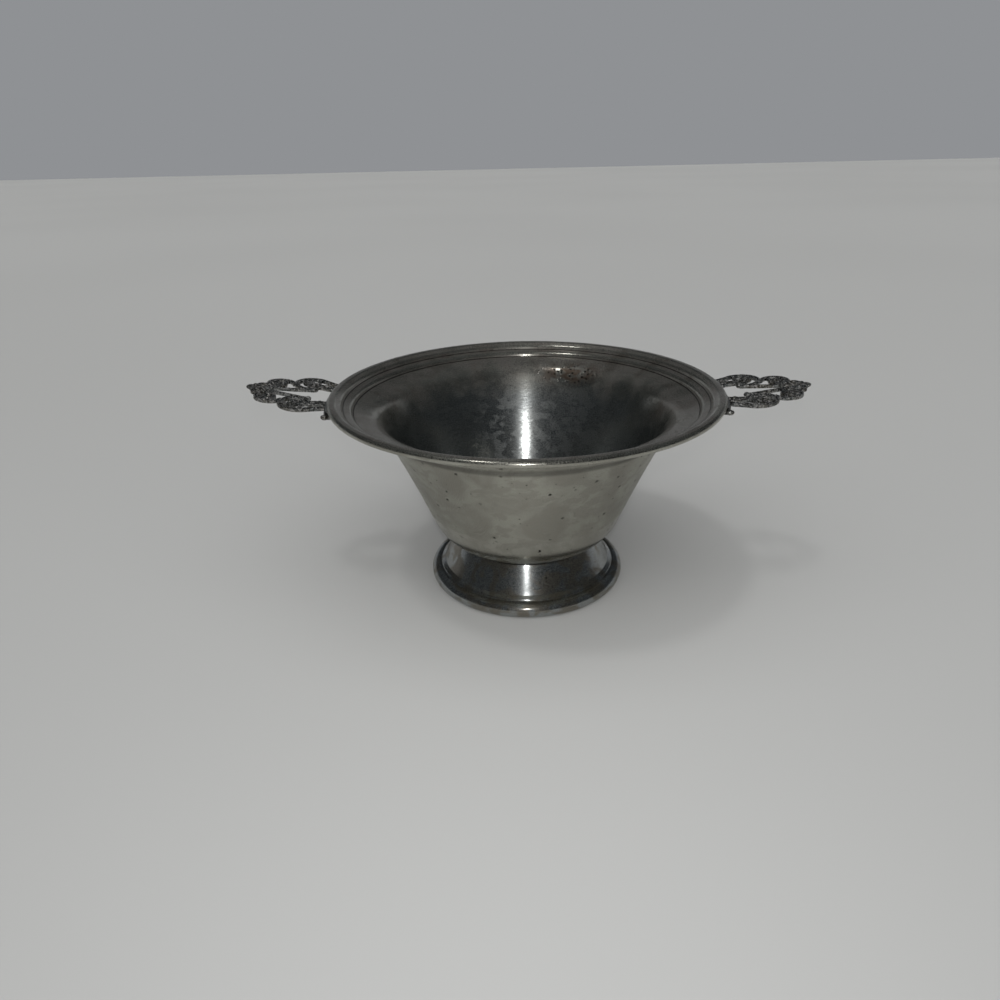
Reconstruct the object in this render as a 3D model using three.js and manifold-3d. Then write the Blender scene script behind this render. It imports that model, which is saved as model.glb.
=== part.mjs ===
// Footed pewter porringer: a spun bowl on a spun foot, with two cast openwork ears soldered under its lip.
// Millimetres, +Z up. The origin is on the surface it stands on, under the centre of the bowl.
// The ears lie along X.
import * as THREE from 'three';
import { mergeVertices } from 'three/addons/utils/BufferGeometryUtils.js';
import Module from 'manifold-3d';

const wasm = await Module();
wasm.setup();

// Spun sheet
const SHEET = 1.3;

// How finely curves are cut into straight steps; a circular arc gets twice the number given here
const TURNING_STEPS = 56;
const CURVE_STEPS = 3;
const EDGE_STEPS = 2;
const BASE_STEPS = 4;
const CIRCLE_STEPS = 6;
const SWEEP_STEP = 20;

// Foot, measured up from the surface it stands on
const BASE_RADIUS = 40;
const BASE_ROLL_HEIGHT = 6;
const BASE_ROLL_WIDTH = 3.9;
const BASE_ROLL_START = THREE.MathUtils.degToRad(100);
const FOOT_HEIGHT = 16.6;
const FOOT_TOP_RADIUS = 28.5;
const COLLAR_BORE_RADIUS = 14;
const CONE_END_RADIUS = 34.2;
const CONE_END_HEIGHT = 7.5;
const STEP_RADIUS = 35.7;
const STEP_HEIGHT = 6.5;
const GROOVE_RADIUS = 36.2;
const GROOVE_HEIGHT = 5.6;

// Bowl, measured up from its own flat underside
const BOWL_HEIGHT = 63;
const BOWL_FLAT_RADIUS = 21.9;
const CORNER_RADIUS = 17.4;
const WALL_LEAN = THREE.MathUtils.degToRad(68.4);

// Flange of the bowl, from the rim inwards
const RIM_RADIUS = 75;
const LIP_WIDTH = 4.8;
const LIP_RISE = 2.6;
const LIP_SHOULDER_WIDTH = 0.7;
const LIP_SHOULDER_DROP = 0.87;
const LIP_FLAT = 1.5;
const STEP_BAND_WIDTH = 3;
const STEP_RISE = 1.75;
const STEP_RUN = 0.5;
const INNER_BAND_WIDTH = 5.6;
const FLANGE_SLOPE = THREE.MathUtils.degToRad(13);
const THROAT_WIDTH = 5;
const THROAT_DROP = 3.1;

// Solder
const FOOT_SOLDER_THICKNESS = 0.4;
const FOOT_SOLDER_WIDTH = 7;
const HANDLE_SOLDER_THICKNESS = 0.5;
const HANDLE_SOLDER_WIDTH = 2.6;
const HANDLE_SOLDER_HALF_ANGLE = THREE.MathUtils.degToRad(16);
const SEAT_GAP = 0.35;

// Ears
const EAR_THICKNESS = 2;
const EAR_BEAD_RELIEF = 0.5;
const EAR_TILT_LEFT = THREE.MathUtils.degToRad(8);
const EAR_TILT_RIGHT = THREE.MathUtils.degToRad(4.5);
const RAIL_WIDTH = 2.8;
const RAIL_OVERLAP = 1.6;
const RAIL_HALF_ANGLE = THREE.MathUtils.degToRad(18);
const LARGE_BAND_WIDTH = 2;
const SMALL_BAND_WIDTH = 1.7;
const EYE_BAND_WIDTH = 1.4;
const BAR_WIDTH = 1.2;

// Scrolls on each side of an ear: distance out from the rim, distance to the side, and radius of the middle
// of the band. An open scroll runs between two angles, in degrees from straight out.
const LARGE_SCROLL = { out: 10.2, side: 11.9, radius: 6.6, from: 132, to: -105 };
const LARGE_EYE = { out: 9.5, side: 10.3, radius: 2.3 };
const SMALL_SCROLL = { out: 22, side: 8, radius: 5, from: 168, to: -72 };
const SMALL_EYE = { out: 22.2, side: 7.6, radius: 1.8 };
const TIP_RING = { out: 27.8, side: 3.3, radius: 2.2 };

// Bars: how far to the side they leave the rail, and the angle at which they meet the scroll they lead to
const LARGE_SCROLL_ROOT = 12.9;
const INNER_BAR = { root: 7.4, angle: 205 };
const OUTER_BAR = { root: 10.6, angle: 143 };
const INWARD = -90;
const LONG_BAR_PULL = { out: 14, side: 3.6 };
const LONG_BAR_END = 245;
const SMALL_LEG_SHARE = 0.8;

// Beads: the angle at which they sit on a scroll, how far outside its band's middle, and their own radius
const LARGE_EYE_BEAD = { angle: 16, beyond: 1.35, radius: 1.3 };
const BAR_BEAD = { angle: 191, beyond: 4.7, radius: 1.2 };
const LARGE_FOOT_BEAD = { angle: -109, beyond: 0.2, radius: 1.2 };
const SMALL_FOOT_BEAD = { angle: -47, beyond: -0.3, radius: 1.1 };
const TIP_SIDE_BEAD = { angle: -25, beyond: 0.7, radius: 1.2 };
const SPUR_RADIUS = 1.4;
const TIP_BEAD = { beyond: 3.8, radius: 1.8 };

// Pewter of the spun pieces and the darker castings, and the brighter solder
const spunPewter = new THREE.MeshStandardMaterial({ color: 0x6c6c66, roughness: 0.38, metalness: 1 });
const footPewter = new THREE.MeshStandardMaterial({ color: 0x55575a, roughness: 0.25, metalness: 1 });
const castPewter = new THREE.MeshStandardMaterial({ color: 0x5c5c58, roughness: 0.5, metalness: 1 });
const softSolder = new THREE.MeshStandardMaterial({ color: 0x8f908d, roughness: 0.35, metalness: 1 });

const point = (x, y) => new THREE.Vector2(x, y);

// Points along a curve, without the first one, which the profile before it already has
function along(curve, steps) {
  return curve.getPoints(steps).slice(1);
}

// The same open profile moved sideways by a distance, to its left when that is positive
function offsetProfile(points, distance) {
  return points.map((here, i) => {
    const before = points[Math.max(i - 1, 0)];
    const after = points[Math.min(i + 1, points.length - 1)];
    const inward = i === 0 ? after.clone().sub(here) : here.clone().sub(before);
    const outward = i === points.length - 1 ? inward.clone() : after.clone().sub(here);
    const normalIn = point(-inward.y, inward.x).normalize();
    const normalOut = point(-outward.y, outward.x).normalize();
    const middle = normalIn.clone().add(normalOut).normalize();
    return here.clone().addScaledVector(middle, distance / middle.dot(normalIn));
  });
}

// Where two lines cross, each given by a point and its angle from the horizontal
function crossing(p, angleP, q, angleQ) {
  const dp = point(Math.cos(angleP), Math.sin(angleP));
  const dq = point(Math.cos(angleQ), Math.sin(angleQ));
  const reach = q.clone().sub(p).cross(dq) / dp.cross(dq);
  return p.clone().addScaledVector(dp, reach);
}

// A turned solid about Z from its profile of radius and height
function turned(profile) {
  const geometry = new THREE.LatheGeometry(profile, TURNING_STEPS);
  geometry.rotateX(Math.PI / 2);
  return geometry;
}

// Bowl: its underside and outside, from the centre out to the lip
const bowlBottom = FOOT_HEIGHT + FOOT_SOLDER_THICKNESS;
const rimTop = bowlBottom + BOWL_HEIGHT;
const lipUnderside = rimTop - SHEET;

// Height of the bowl's rounded underside at a radius
function bowlUnderside(radius) {
  const run = Math.max(radius - BOWL_FLAT_RADIUS, 0);
  return bowlBottom + CORNER_RADIUS - Math.sqrt(CORNER_RADIUS ** 2 - run ** 2);
}

function bowlOutside() {
  const wallStart = point(
    BOWL_FLAT_RADIUS + CORNER_RADIUS * Math.sin(WALL_LEAN),
    bowlBottom + CORNER_RADIUS * (1 - Math.cos(WALL_LEAN)),
  );
  const lipFoot = point(RIM_RADIUS - LIP_WIDTH, lipUnderside - LIP_RISE);
  const stepEdge = point(
    lipFoot.x - STEP_BAND_WIDTH,
    lipFoot.y - STEP_BAND_WIDTH * Math.tan(FLANGE_SLOPE),
  );
  const stepFoot = point(stepEdge.x - STEP_RUN, stepEdge.y - STEP_RISE);
  const bandStart = point(
    stepFoot.x - INNER_BAND_WIDTH,
    stepFoot.y - INNER_BAND_WIDTH * Math.tan(FLANGE_SLOPE),
  );
  const throat = point(bandStart.x - THROAT_WIDTH, bandStart.y - THROAT_DROP);
  const halfWay = (wallStart.y + throat.y) / 2;
  const wallPull = crossing(wallStart, WALL_LEAN, point(0, halfWay), 0);
  const wallEndAngle = Math.atan2(throat.y - wallPull.y, throat.x - wallPull.x);
  const throatPull = crossing(throat, wallEndAngle, bandStart, FLANGE_SLOPE);
  const lipShoulder = point(lipFoot.x + LIP_SHOULDER_WIDTH, lipUnderside - LIP_SHOULDER_DROP);
  const lipEnd = point(RIM_RADIUS - SHEET / 2, lipUnderside);
  const lipTurn = point(lipEnd.x - LIP_FLAT, lipUnderside);
  const corner = new THREE.Path().absarc(
    BOWL_FLAT_RADIUS, bowlBottom + CORNER_RADIUS, CORNER_RADIUS, -Math.PI / 2, WALL_LEAN - Math.PI / 2,
  );
  return [
    point(0, bowlBottom),
    ...corner.getPoints(CURVE_STEPS),
    ...along(new THREE.QuadraticBezierCurve(wallStart, wallPull, throat), CURVE_STEPS),
    ...along(new THREE.QuadraticBezierCurve(throat, throatPull, bandStart), CURVE_STEPS),
    stepFoot,
    stepEdge,
    lipFoot,
    ...along(new THREE.QuadraticBezierCurve(lipFoot, lipShoulder, lipTurn), CURVE_STEPS),
    lipEnd,
  ];
}

function bowlGeometry() {
  const outside = bowlOutside();
  const inside = offsetProfile(outside, SHEET);
  inside[0].x = 0;
  const edge = outside.at(-1).clone().add(inside.at(-1)).multiplyScalar(0.5);
  const nose = new THREE.Path().absarc(edge.x, edge.y, SHEET / 2, -Math.PI / 2, Math.PI / 2);
  return turned([...outside.slice(0, -1), ...nose.getPoints(EDGE_STEPS), ...inside.slice(0, -1).reverse()]);
}

// Foot: a turned-in collar under the bowl, a cone, a small step and a solid rolled base
function footGeometry() {
  const shoulder = Array.from({ length: CURVE_STEPS + 1 }, (_, i) => {
    const radius = THREE.MathUtils.lerp(BOWL_FLAT_RADIUS, FOOT_TOP_RADIUS, i / CURVE_STEPS);
    return point(radius, bowlUnderside(radius) - FOOT_SOLDER_THICKNESS);
  });
  const skin = [
    point(COLLAR_BORE_RADIUS, FOOT_HEIGHT),
    ...shoulder,
    point(CONE_END_RADIUS, CONE_END_HEIGHT),
    point(STEP_RADIUS, STEP_HEIGHT),
    point(GROOVE_RADIUS, GROOVE_HEIGHT),
  ];
  const rollRadius = BASE_ROLL_HEIGHT / 2;
  const rollCentre = BASE_RADIUS - rollRadius;
  const roll = new THREE.Path();
  roll.absarc(rollCentre, rollRadius, rollRadius, BASE_ROLL_START, -Math.PI / 2, true);
  const innerBase = BASE_RADIUS - BASE_ROLL_WIDTH;
  const lining = offsetProfile(skin.slice(0, -2), -SHEET).reverse();
  const profile = [
    ...skin,
    ...roll.getPoints(BASE_STEPS),
    point(innerBase, 0),
    point(innerBase, rollRadius),
    ...lining,
    skin[0].clone(),
  ];
  return turned(profile.reverse());
}

// Flat piece with its underside at a height, extruded upwards
function plate(shape, thickness, underside) {
  const settings = { depth: thickness, bevelEnabled: false, curveSegments: CIRCLE_STEPS };
  return new THREE.ExtrudeGeometry(shape, settings).translate(0, 0, underside);
}

// Part of a flat ring about the bowl's axis, centred on +X
function ringSector(innerRadius, outerRadius, halfAngle) {
  const shape = new THREE.Shape();
  shape.absarc(0, 0, outerRadius, -halfAngle, halfAngle, false);
  shape.absarc(0, 0, innerRadius, halfAngle, -halfAngle, true);
  return shape;
}

// A band of even width along a line of points
function band(points, width) {
  const left = offsetProfile(points, width / 2);
  const right = offsetProfile(points, -width / 2).reverse();
  return new THREE.Shape([...left, ...right]);
}

// A side of +1 or -1 says which side of an ear's centre line a shape lies on
function at(out, sideways, side) {
  return point(RIM_RADIUS + out, side * sideways);
}

// Point on the rail's middle line, a distance to the side
function onRail(sideways, side) {
  const middle = RIM_RADIUS - RAIL_OVERLAP + RAIL_WIDTH / 2;
  return point(Math.sqrt(middle ** 2 - sideways ** 2), side * sideways);
}

// Point at an angle on a scroll, on the middle of its band or beyond that by a distance
function onScroll(scroll, degrees, side, beyond = 0) {
  const angle = THREE.MathUtils.degToRad(degrees);
  const reach = scroll.radius + beyond;
  return at(scroll.out + reach * Math.cos(angle), scroll.side + reach * Math.sin(angle), side);
}

function disc(centre, radius) {
  return new THREE.Shape().absarc(centre.x, centre.y, radius, 0, Math.PI * 2);
}

function ring(scroll, width, side) {
  const centre = at(scroll.out, scroll.side, side);
  const shape = disc(centre, scroll.radius + width / 2);
  shape.holes.push(new THREE.Path().absarc(centre.x, centre.y, scroll.radius - width / 2, 0, Math.PI * 2));
  return shape;
}

function bead(settings, scroll, side) {
  return disc(onScroll(scroll, settings.angle, side, settings.beyond), settings.radius);
}

// The open arc of a scroll
function sweep(scroll, side) {
  const steps = Math.ceil((scroll.from - scroll.to) / SWEEP_STEP);
  return Array.from({ length: steps + 1 }, (_, i) => {
    return onScroll(scroll, THREE.MathUtils.lerp(scroll.from, scroll.to, i / steps), side);
  });
}

// The flat bands, bars and rings on one side of an ear's centre line
function earSideShapes(side) {
  const largeFoot = onScroll(LARGE_SCROLL, LARGE_SCROLL.to, side);
  const pull = at(LONG_BAR_PULL.out, LONG_BAR_PULL.side, side);
  const longBar = new THREE.QuadraticBezierCurve(largeFoot, pull, onScroll(TIP_RING, LONG_BAR_END, side));
  const bars = [
    longBar.getPoints(CURVE_STEPS + EDGE_STEPS),
    [onRail(INNER_BAR.root, side), onScroll(LARGE_EYE, INNER_BAR.angle, side)],
    [onRail(OUTER_BAR.root, side), onScroll(LARGE_EYE, OUTER_BAR.angle, side)],
    [onScroll(LARGE_EYE, INWARD, side), largeFoot],
    [onScroll(SMALL_EYE, INWARD, side), longBar.getPoint(SMALL_LEG_SHARE)],
  ];
  return [
    band([onRail(LARGE_SCROLL_ROOT, side), ...sweep(LARGE_SCROLL, side)], LARGE_BAND_WIDTH),
    band(sweep(SMALL_SCROLL, side), SMALL_BAND_WIDTH),
    ...bars.map((line) => band(line, BAR_WIDTH)),
    ring(LARGE_EYE, EYE_BAND_WIDTH, side),
    ring(SMALL_EYE, EYE_BAND_WIDTH, side),
    ring(TIP_RING, EYE_BAND_WIDTH, side),
  ];
}

// The beads that stand up from one side of the casting
function earSideBeads(side) {
  const railEnd = RIM_RADIUS - RAIL_OVERLAP + RAIL_WIDTH;
  const spur = point(railEnd * Math.cos(RAIL_HALF_ANGLE), side * railEnd * Math.sin(RAIL_HALF_ANGLE));
  return [
    bead(LARGE_EYE_BEAD, LARGE_EYE, side),
    bead(BAR_BEAD, LARGE_EYE, side),
    bead(LARGE_FOOT_BEAD, LARGE_SCROLL, side),
    bead(SMALL_FOOT_BEAD, SMALL_SCROLL, side),
    bead(TIP_SIDE_BEAD, TIP_RING, side),
    disc(spur, SPUR_RADIUS),
  ];
}

// Closed solid of a geometry, for joining
function solidOf(geometry) {
  const bare = geometry.clone();
  bare.deleteAttribute('normal');
  bare.deleteAttribute('uv');
  const merged = mergeVertices(bare, 1e-4);
  return new wasm.Manifold(new wasm.Mesh({
    numProp: 3,
    vertProperties: new Float32Array(merged.attributes.position.array),
    triVerts: new Uint32Array(merged.index.array),
  }));
}

function geometryOf(solid) {
  const mesh = solid.getMesh();
  const geometry = new THREE.BufferGeometry();
  geometry.setAttribute('position', new THREE.BufferAttribute(new Float32Array(mesh.vertProperties), 3));
  geometry.setIndex(new THREE.BufferAttribute(new Uint32Array(mesh.triVerts), 1));
  geometry.computeVertexNormals();
  return geometry;
}

// One cast ear, its top face at height 0 where it passes under the rim, so it can be tilted there
function earGeometry() {
  const railInner = RIM_RADIUS - RAIL_OVERLAP;
  const flats = [ringSector(railInner, railInner + RAIL_WIDTH, RAIL_HALF_ANGLE)];
  const raised = [disc(point(RIM_RADIUS + TIP_RING.out + TIP_BEAD.beyond, 0), TIP_BEAD.radius)];
  for (const side of [1, -1]) {
    flats.push(...earSideShapes(side));
    raised.push(...earSideBeads(side));
  }
  const solids = [
    ...flats.map((shape) => solidOf(plate(shape, EAR_THICKNESS, -EAR_THICKNESS))),
    ...raised.map((shape) => solidOf(plate(shape, EAR_THICKNESS + EAR_BEAD_RELIEF, -EAR_THICKNESS))),
  ];
  const ear = solids.reduce((whole, solid) => whole.add(solid));
  return geometryOf(ear).translate(-RIM_RADIUS, 0, 0);
}

function handleSolderGeometry() {
  const inner = RIM_RADIUS - RAIL_OVERLAP;
  const underside = lipUnderside - SEAT_GAP - HANDLE_SOLDER_THICKNESS;
  const shape = ringSector(inner, inner + HANDLE_SOLDER_WIDTH, HANDLE_SOLDER_HALF_ANGLE);
  return plate(shape, HANDLE_SOLDER_THICKNESS, underside);
}

function footSolderGeometry() {
  const outer = BOWL_FLAT_RADIUS;
  const inner = outer - FOOT_SOLDER_WIDTH;
  return turned([
    point(inner, FOOT_HEIGHT),
    point(outer, FOOT_HEIGHT),
    point(outer, bowlBottom),
    point(inner, bowlBottom),
    point(inner, FOOT_HEIGHT),
  ]);
}

function named(name, geometry, material) {
  const mesh = new THREE.Mesh(geometry, material);
  mesh.name = name;
  return mesh;
}

// An ear and its solder, on the +X side before the group is turned
function handleSide(side, tilt) {
  const group = new THREE.Group();
  const ear = named(`handle_${side}`, earGeometry(), castPewter.clone());
  ear.position.set(RIM_RADIUS, 0, lipUnderside - 2 * SEAT_GAP - HANDLE_SOLDER_THICKNESS);
  ear.rotation.y = -tilt;
  group.add(ear, named(`handle_solder_${side}`, handleSolderGeometry(), softSolder.clone()));
  return group;
}

const porringer = new THREE.Group();
porringer.add(named('bowl', bowlGeometry(), spunPewter));
porringer.add(named('foot', footGeometry(), footPewter));
porringer.add(named('foot_solder_ring', footSolderGeometry(), softSolder));
const leftSide = handleSide('left', EAR_TILT_LEFT);
leftSide.rotation.z = Math.PI;
porringer.add(leftSide, handleSide('right', EAR_TILT_RIGHT));

export default porringer;
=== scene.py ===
"""Footed two-eared pewter porringer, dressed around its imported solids.

Blender works in metres here. Profiles and the pattern of the ears are worked out in millimetres, as a
pewterer would note them, and are brought to metres when their meshes are finished.
"""
import math

import bpy
import numpy as np
from mathutils import Matrix, Vector


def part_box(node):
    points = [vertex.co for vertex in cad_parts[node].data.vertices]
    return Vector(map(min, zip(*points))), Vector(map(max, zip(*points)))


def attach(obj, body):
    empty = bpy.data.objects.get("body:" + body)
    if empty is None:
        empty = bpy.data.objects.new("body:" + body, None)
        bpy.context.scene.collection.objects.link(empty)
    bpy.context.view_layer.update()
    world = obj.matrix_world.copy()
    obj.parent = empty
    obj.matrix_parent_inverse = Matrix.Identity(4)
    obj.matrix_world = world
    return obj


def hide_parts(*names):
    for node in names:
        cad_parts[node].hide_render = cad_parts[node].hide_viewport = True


bl_info = {
    "name": "Footed Porringer",
    "version": (1, 0, 0),
    "blender": (4, 5, 0),
    "location": "3D View > Sidebar > Porringer",
    "description": "Spins, casts and solders a footed pewter porringer around its packed solids",
    "category": "Object",
}

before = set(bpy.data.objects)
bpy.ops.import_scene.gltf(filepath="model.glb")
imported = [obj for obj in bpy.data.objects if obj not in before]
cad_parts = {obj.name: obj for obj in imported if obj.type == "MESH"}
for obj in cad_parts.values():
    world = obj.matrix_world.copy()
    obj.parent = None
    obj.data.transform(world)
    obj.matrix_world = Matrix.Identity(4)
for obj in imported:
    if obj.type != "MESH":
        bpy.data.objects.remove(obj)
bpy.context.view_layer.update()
BOWL_LOW, BOWL_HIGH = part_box("bowl")
FOOT_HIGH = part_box("foot")[1]
RING_LOW, RING_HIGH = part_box("foot_solder_ring")
EAR_SOLDER_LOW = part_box("handle_solder_right")[0]

MM = 0.001
UP = Vector((0, 0, 1))


# Settings that a user would change

def size(name, description, length_mm):
    return bpy.props.FloatProperty(
        name=name, description=description, default=length_mm * MM, unit="LENGTH", precision=5,
    )


def angle(name, description, degrees):
    return bpy.props.FloatProperty(
        name=name, description=description, default=math.radians(degrees), subtype="ANGLE",
    )


def count(name, description, steps):
    return bpy.props.IntProperty(name=name, description=description, default=steps, min=1)


def number(name, description, value):
    return bpy.props.FloatProperty(name=name, description=description, default=value, precision=4)


def linear(hex_colour):
    """An sRGB hex colour as linear red, green and blue, by the curve of the sRGB standard."""
    channels = [int(hex_colour[i:i + 2], 16) / 255 for i in (1, 3, 5)]
    return tuple(c / 12.92 if c <= 0.04045 else ((c + 0.055) / 1.055) ** 2.4 for c in channels)


def colour(name, description, hex_colour):
    return bpy.props.FloatVectorProperty(
        name=name, description=description, default=linear(hex_colour), subtype="COLOR", min=0, max=1,
    )


class PorringerBowlSettings(bpy.types.PropertyGroup):
    sheet: size("Sheet", "Thickness of the spun sheet", 1.3)
    flat_radius: size("Flat radius", "Radius of the flat underside", RING_HIGH.x / MM)
    corner_radius: size("Corner radius", "Radius of the rounded bottom, outside", 17.4)
    wall_lean: angle("Wall lean", "Lean of the lower wall from level", 68.4)
    throat_lean: angle("Throat lean", "Lean of the wall at the throat from level", 64.5)
    throat_radius: size("Throat radius", "Radius of the bend from the wall to the flange", 6.5)
    flange_slope: angle("Flange slope", "Slope of the flange's flat bands", 13)
    lip_width: size("Lip width", "Width of the raised lip", 4.8)
    lip_rise: size("Lip rise", "Height of the lip above the band below it", 2.6)
    lip_bead: size("Lip bead", "Radius of the rolled edge of the lip", 1.2)
    step_band: size("Step band", "Width of the band between the lip and the step", 3)
    step_rise: size("Step rise", "Height of the step in the flange", 1.75)
    step_run: size("Step run", "Width that the step's riser takes", 0.5)
    inner_band: size("Inner band", "Width of the band below the step", 5.6)
    throat_width: size("Throat width", "Width that the throat's bend takes", 5)
    throat_drop: size("Throat drop", "Height that the throat's bend takes", 3.1)
    crease: size("Crease", "Radius of the bends beside the steps, at the middle of the sheet", 1)
    waviness: size("Waviness", "Depth of the slight waves that spinning and use left", 0.09)
    turning_steps: count("Turning steps", "Faces around the bowl", 320)


class PorringerFootSettings(bpy.types.PropertyGroup):
    base_roll: size("Base roll", "Height of the rolled base", 6)
    base_width: size("Base width", "Width of the rolled base", 3.9)
    top_radius: size("Top radius", "Radius where the cone leaves the bowl", 28.5)
    collar_bore: size("Collar bore", "Radius of the hole in the turned-in collar", 14)
    cone_radius: size("Cone radius", "Radius at the cone's lower edge", 34.2)
    cone_height: size("Cone height", "Height of the cone's lower edge", 7.5)
    step_radius: size("Step radius", "Radius of the edge below the cone", 35.7)
    step_height: size("Step height", "Height of the edge below the cone", 6.5)
    groove_radius: size("Groove radius", "Radius of the groove above the roll", 36.2)
    groove_height: size("Groove height", "Height of the groove above the roll", 5.6)
    waviness: size("Waviness", "Depth of the slight waves", 0.05)
    turning_steps: count("Turning steps", "Faces around the foot", 256)


class PorringerEarSettings(bpy.types.PropertyGroup):
    thickness: size("Thickness", "Thickness of the casting", 1.4)
    tilt_left: angle("Left tilt", "How far the left ear is bent up", 8)
    tilt_right: angle("Right tilt", "How far the right ear is bent up", 4.5)
    seat_gap: size("Seat gap", "Gap between the ear and its solder", 0.35)
    rail_width: size("Rail width", "Width of the curved rail under the lip", 2.8)
    rail_overlap: size("Rail overlap", "How far the rail reaches in under the rim", 1.6)
    rail_half_angle: angle("Rail half angle", "Half of the rim that the rail follows", 18)
    large_band: size("Large band", "Width of the large scroll's band", 2)
    small_band: size("Small band", "Width of the small scroll's band", 1.7)
    eye_band: size("Eye band", "Width of the bands of the eyes", 1.4)
    bar_width: size("Bar width", "Width of the bars", 1.2)
    leaf_width: size("Leaf width", "Width of the small leaves at their middle", 1.3)
    groove: number("Groove", "Depth of the chased groove as a share of the thickness", 0.2)
    bead_rise: size("Bead rise", "How far the beads stand above the bands", 0.5)
    grain: size("Grain", "Size of the steps in which the casting is fused", 0.17)
    solder_half_angle: angle("Solder half angle", "Half of the rim that the solder follows", 16)


class PorringerFinishSettings(bpy.types.PropertyGroup):
    pewter: colour("Pewter", "Clean pewter of the bowl's outside and flange", "#b3b2a8")
    wiped: colour("Wiped pewter", "Pewter of the foot and inside the bowl, wiped clean", "#a6a9a8")
    tarnish: colour("Tarnish", "Grey tarnish in clouds and smears", "#8f8b82")
    film: colour("Film", "Brown grey film on the flange and throat", "#928e88")
    stain: colour("Stain", "Brown of the stain inside, and of the blotches on the flange", "#6e6156")
    # Also the colour of the dirt in the creases and of the painted shade under the lip and the throat
    pit: colour("Pit", "Dark corrosion pits", "#1f1c1a")
    # Also the colour of the painted shade on the castings' steep sides
    oxide: colour("Oxide", "Black oxide in the castings' recesses", "#161513")
    residue: colour("Residue", "Pale polish residue caught in the castings", "#a5a3a0")
    solder: colour("Solder", "Dull tin and lead solder", "#9d9e9b")


class PorringerStudioSettings(bpy.types.PropertyGroup):
    distance: size("Camera distance", "Distance from the camera to the point that it circles", 301.8)
    aim_height: size("Aim height", "Height of the point that the camera circles", 40)
    elevation: angle("Elevation", "Camera's height above level", 24.219)
    turn: angle("Turn", "Camera's turn to the left", 2.011)
    nod: angle("Nod", "Camera's turn downwards", 1.381)
    roll: angle("Roll", "Camera's roll", 0.453)
    focal_share: number("Focal share", "Focal length as a share of the picture's width", 0.74)
    floor: colour("Floor", "Pale plain floor", "#c9c9c7")
    horizon: colour("Horizon", "Pale studio wall, low down", "#8f9194")
    dim: colour("Dim", "Unlit walls of the studio", "#2c2f31")
    ceiling: colour("Ceiling", "Studio ceiling", "#4c4f51")
    key_strength: number("Key light", "Strength of the light from above left", 0.26)
    fill_strength: number("Fill light", "Strength of the light from above and in front", 2.25)
    bounce_strength: number("Bounced light", "Strength of the light from the pale wall behind", 0.26)
    front_power: number("Front light", "Power of the small light above the camera, in watts", 0.16)


# Geometry in millimetres

def millimetres(settings):
    """The settings' lengths in millimetres, and everything else as it is."""
    values = {}
    for name in type(settings).__annotations__:
        value = getattr(settings, name)
        is_length = settings.bl_rna.properties[name].unit == "LENGTH"
        values[name] = value / MM if is_length else value
    return type("Sizes", (), values)


def direction(radians):
    return np.array([math.cos(radians), math.sin(radians)])


def crossing(p, lean_p, q, lean_q):
    """Where a line through p meets a line through q, each with its lean from level."""
    sides = np.column_stack([direction(lean_p), -direction(lean_q)])
    return np.asarray(p) + direction(lean_p) * np.linalg.solve(sides, np.subtract(q, p))[0]


def offset(points, distance):
    """An open profile moved to its left by a distance, with its corners kept sharp."""
    points = np.asarray(points, float)
    steps = np.diff(points, axis=0)
    normals = np.column_stack([-steps[:, 1], steps[:, 0]])
    normals /= np.linalg.norm(normals, axis=1)[:, None]
    before = np.vstack([normals[:1], normals])
    after = np.vstack([normals, normals[-1:]])
    middle = before + after
    middle /= np.linalg.norm(middle, axis=1)[:, None]
    return points + middle * (distance / np.sum(middle * before, axis=1))[:, None]


def rounded(corners, radii, turn_step=math.radians(7)):
    """A profile through corners, with an arc of its own radius at each corner between its ends."""
    corners = np.asarray(corners, float)
    points = [corners[0]]
    for i, radius in enumerate(radii, start=1):
        into = corners[i] - corners[i - 1]
        out = corners[i + 1] - corners[i]
        start_angle = math.atan2(into[1], into[0])
        turn = math.atan2(into[0] * out[1] - into[1] * out[0], into @ out)
        reach = radius * math.tan(abs(turn) / 2)
        start = corners[i] - direction(start_angle) * reach
        side = math.copysign(1, turn)
        centre = start + side * radius * direction(start_angle + math.pi / 2)
        steps = max(3, math.ceil(abs(turn) / turn_step))
        for k in range(steps + 1):
            angle_now = start_angle - side * math.pi / 2 + turn * k / steps
            points.append(centre + radius * direction(angle_now))
    return np.array(points + [corners[-1]])


def subdivided(points, longest):
    """The same line with no step longer than a given length."""
    result = [points[0]]
    for before, after in zip(points[:-1], points[1:]):
        steps = max(1, math.ceil(np.linalg.norm(after - before) / longest))
        result.extend(before + (after - before) * k / steps for k in range(1, steps + 1))
    return np.array(result)


def arc(centre, radius, start, end, steps):
    """Points on an arc between two angles in radians."""
    angles = np.linspace(start, end, steps + 1)
    return np.asarray(centre) + radius * np.column_stack([np.cos(angles), np.sin(angles)])


# Node trees

def fill(tree, node, values):
    """Fills a node's inputs with constants, with outputs of other nodes, or with nodes' first outputs."""
    for name, value in values.items():
        source = value.outputs[0] if isinstance(value, bpy.types.Node) else value
        if isinstance(source, bpy.types.NodeSocket):
            tree.links.new(source, node.inputs[name])
        else:
            node.inputs[name].default_value = source


def add(tree, kind, values=None, **settings):
    """Adds a node with its settings, and fills its inputs."""
    node = tree.nodes.new(kind)
    for name, value in settings.items():
        setattr(node, name, value)
    fill(tree, node, values or {})
    return node


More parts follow.
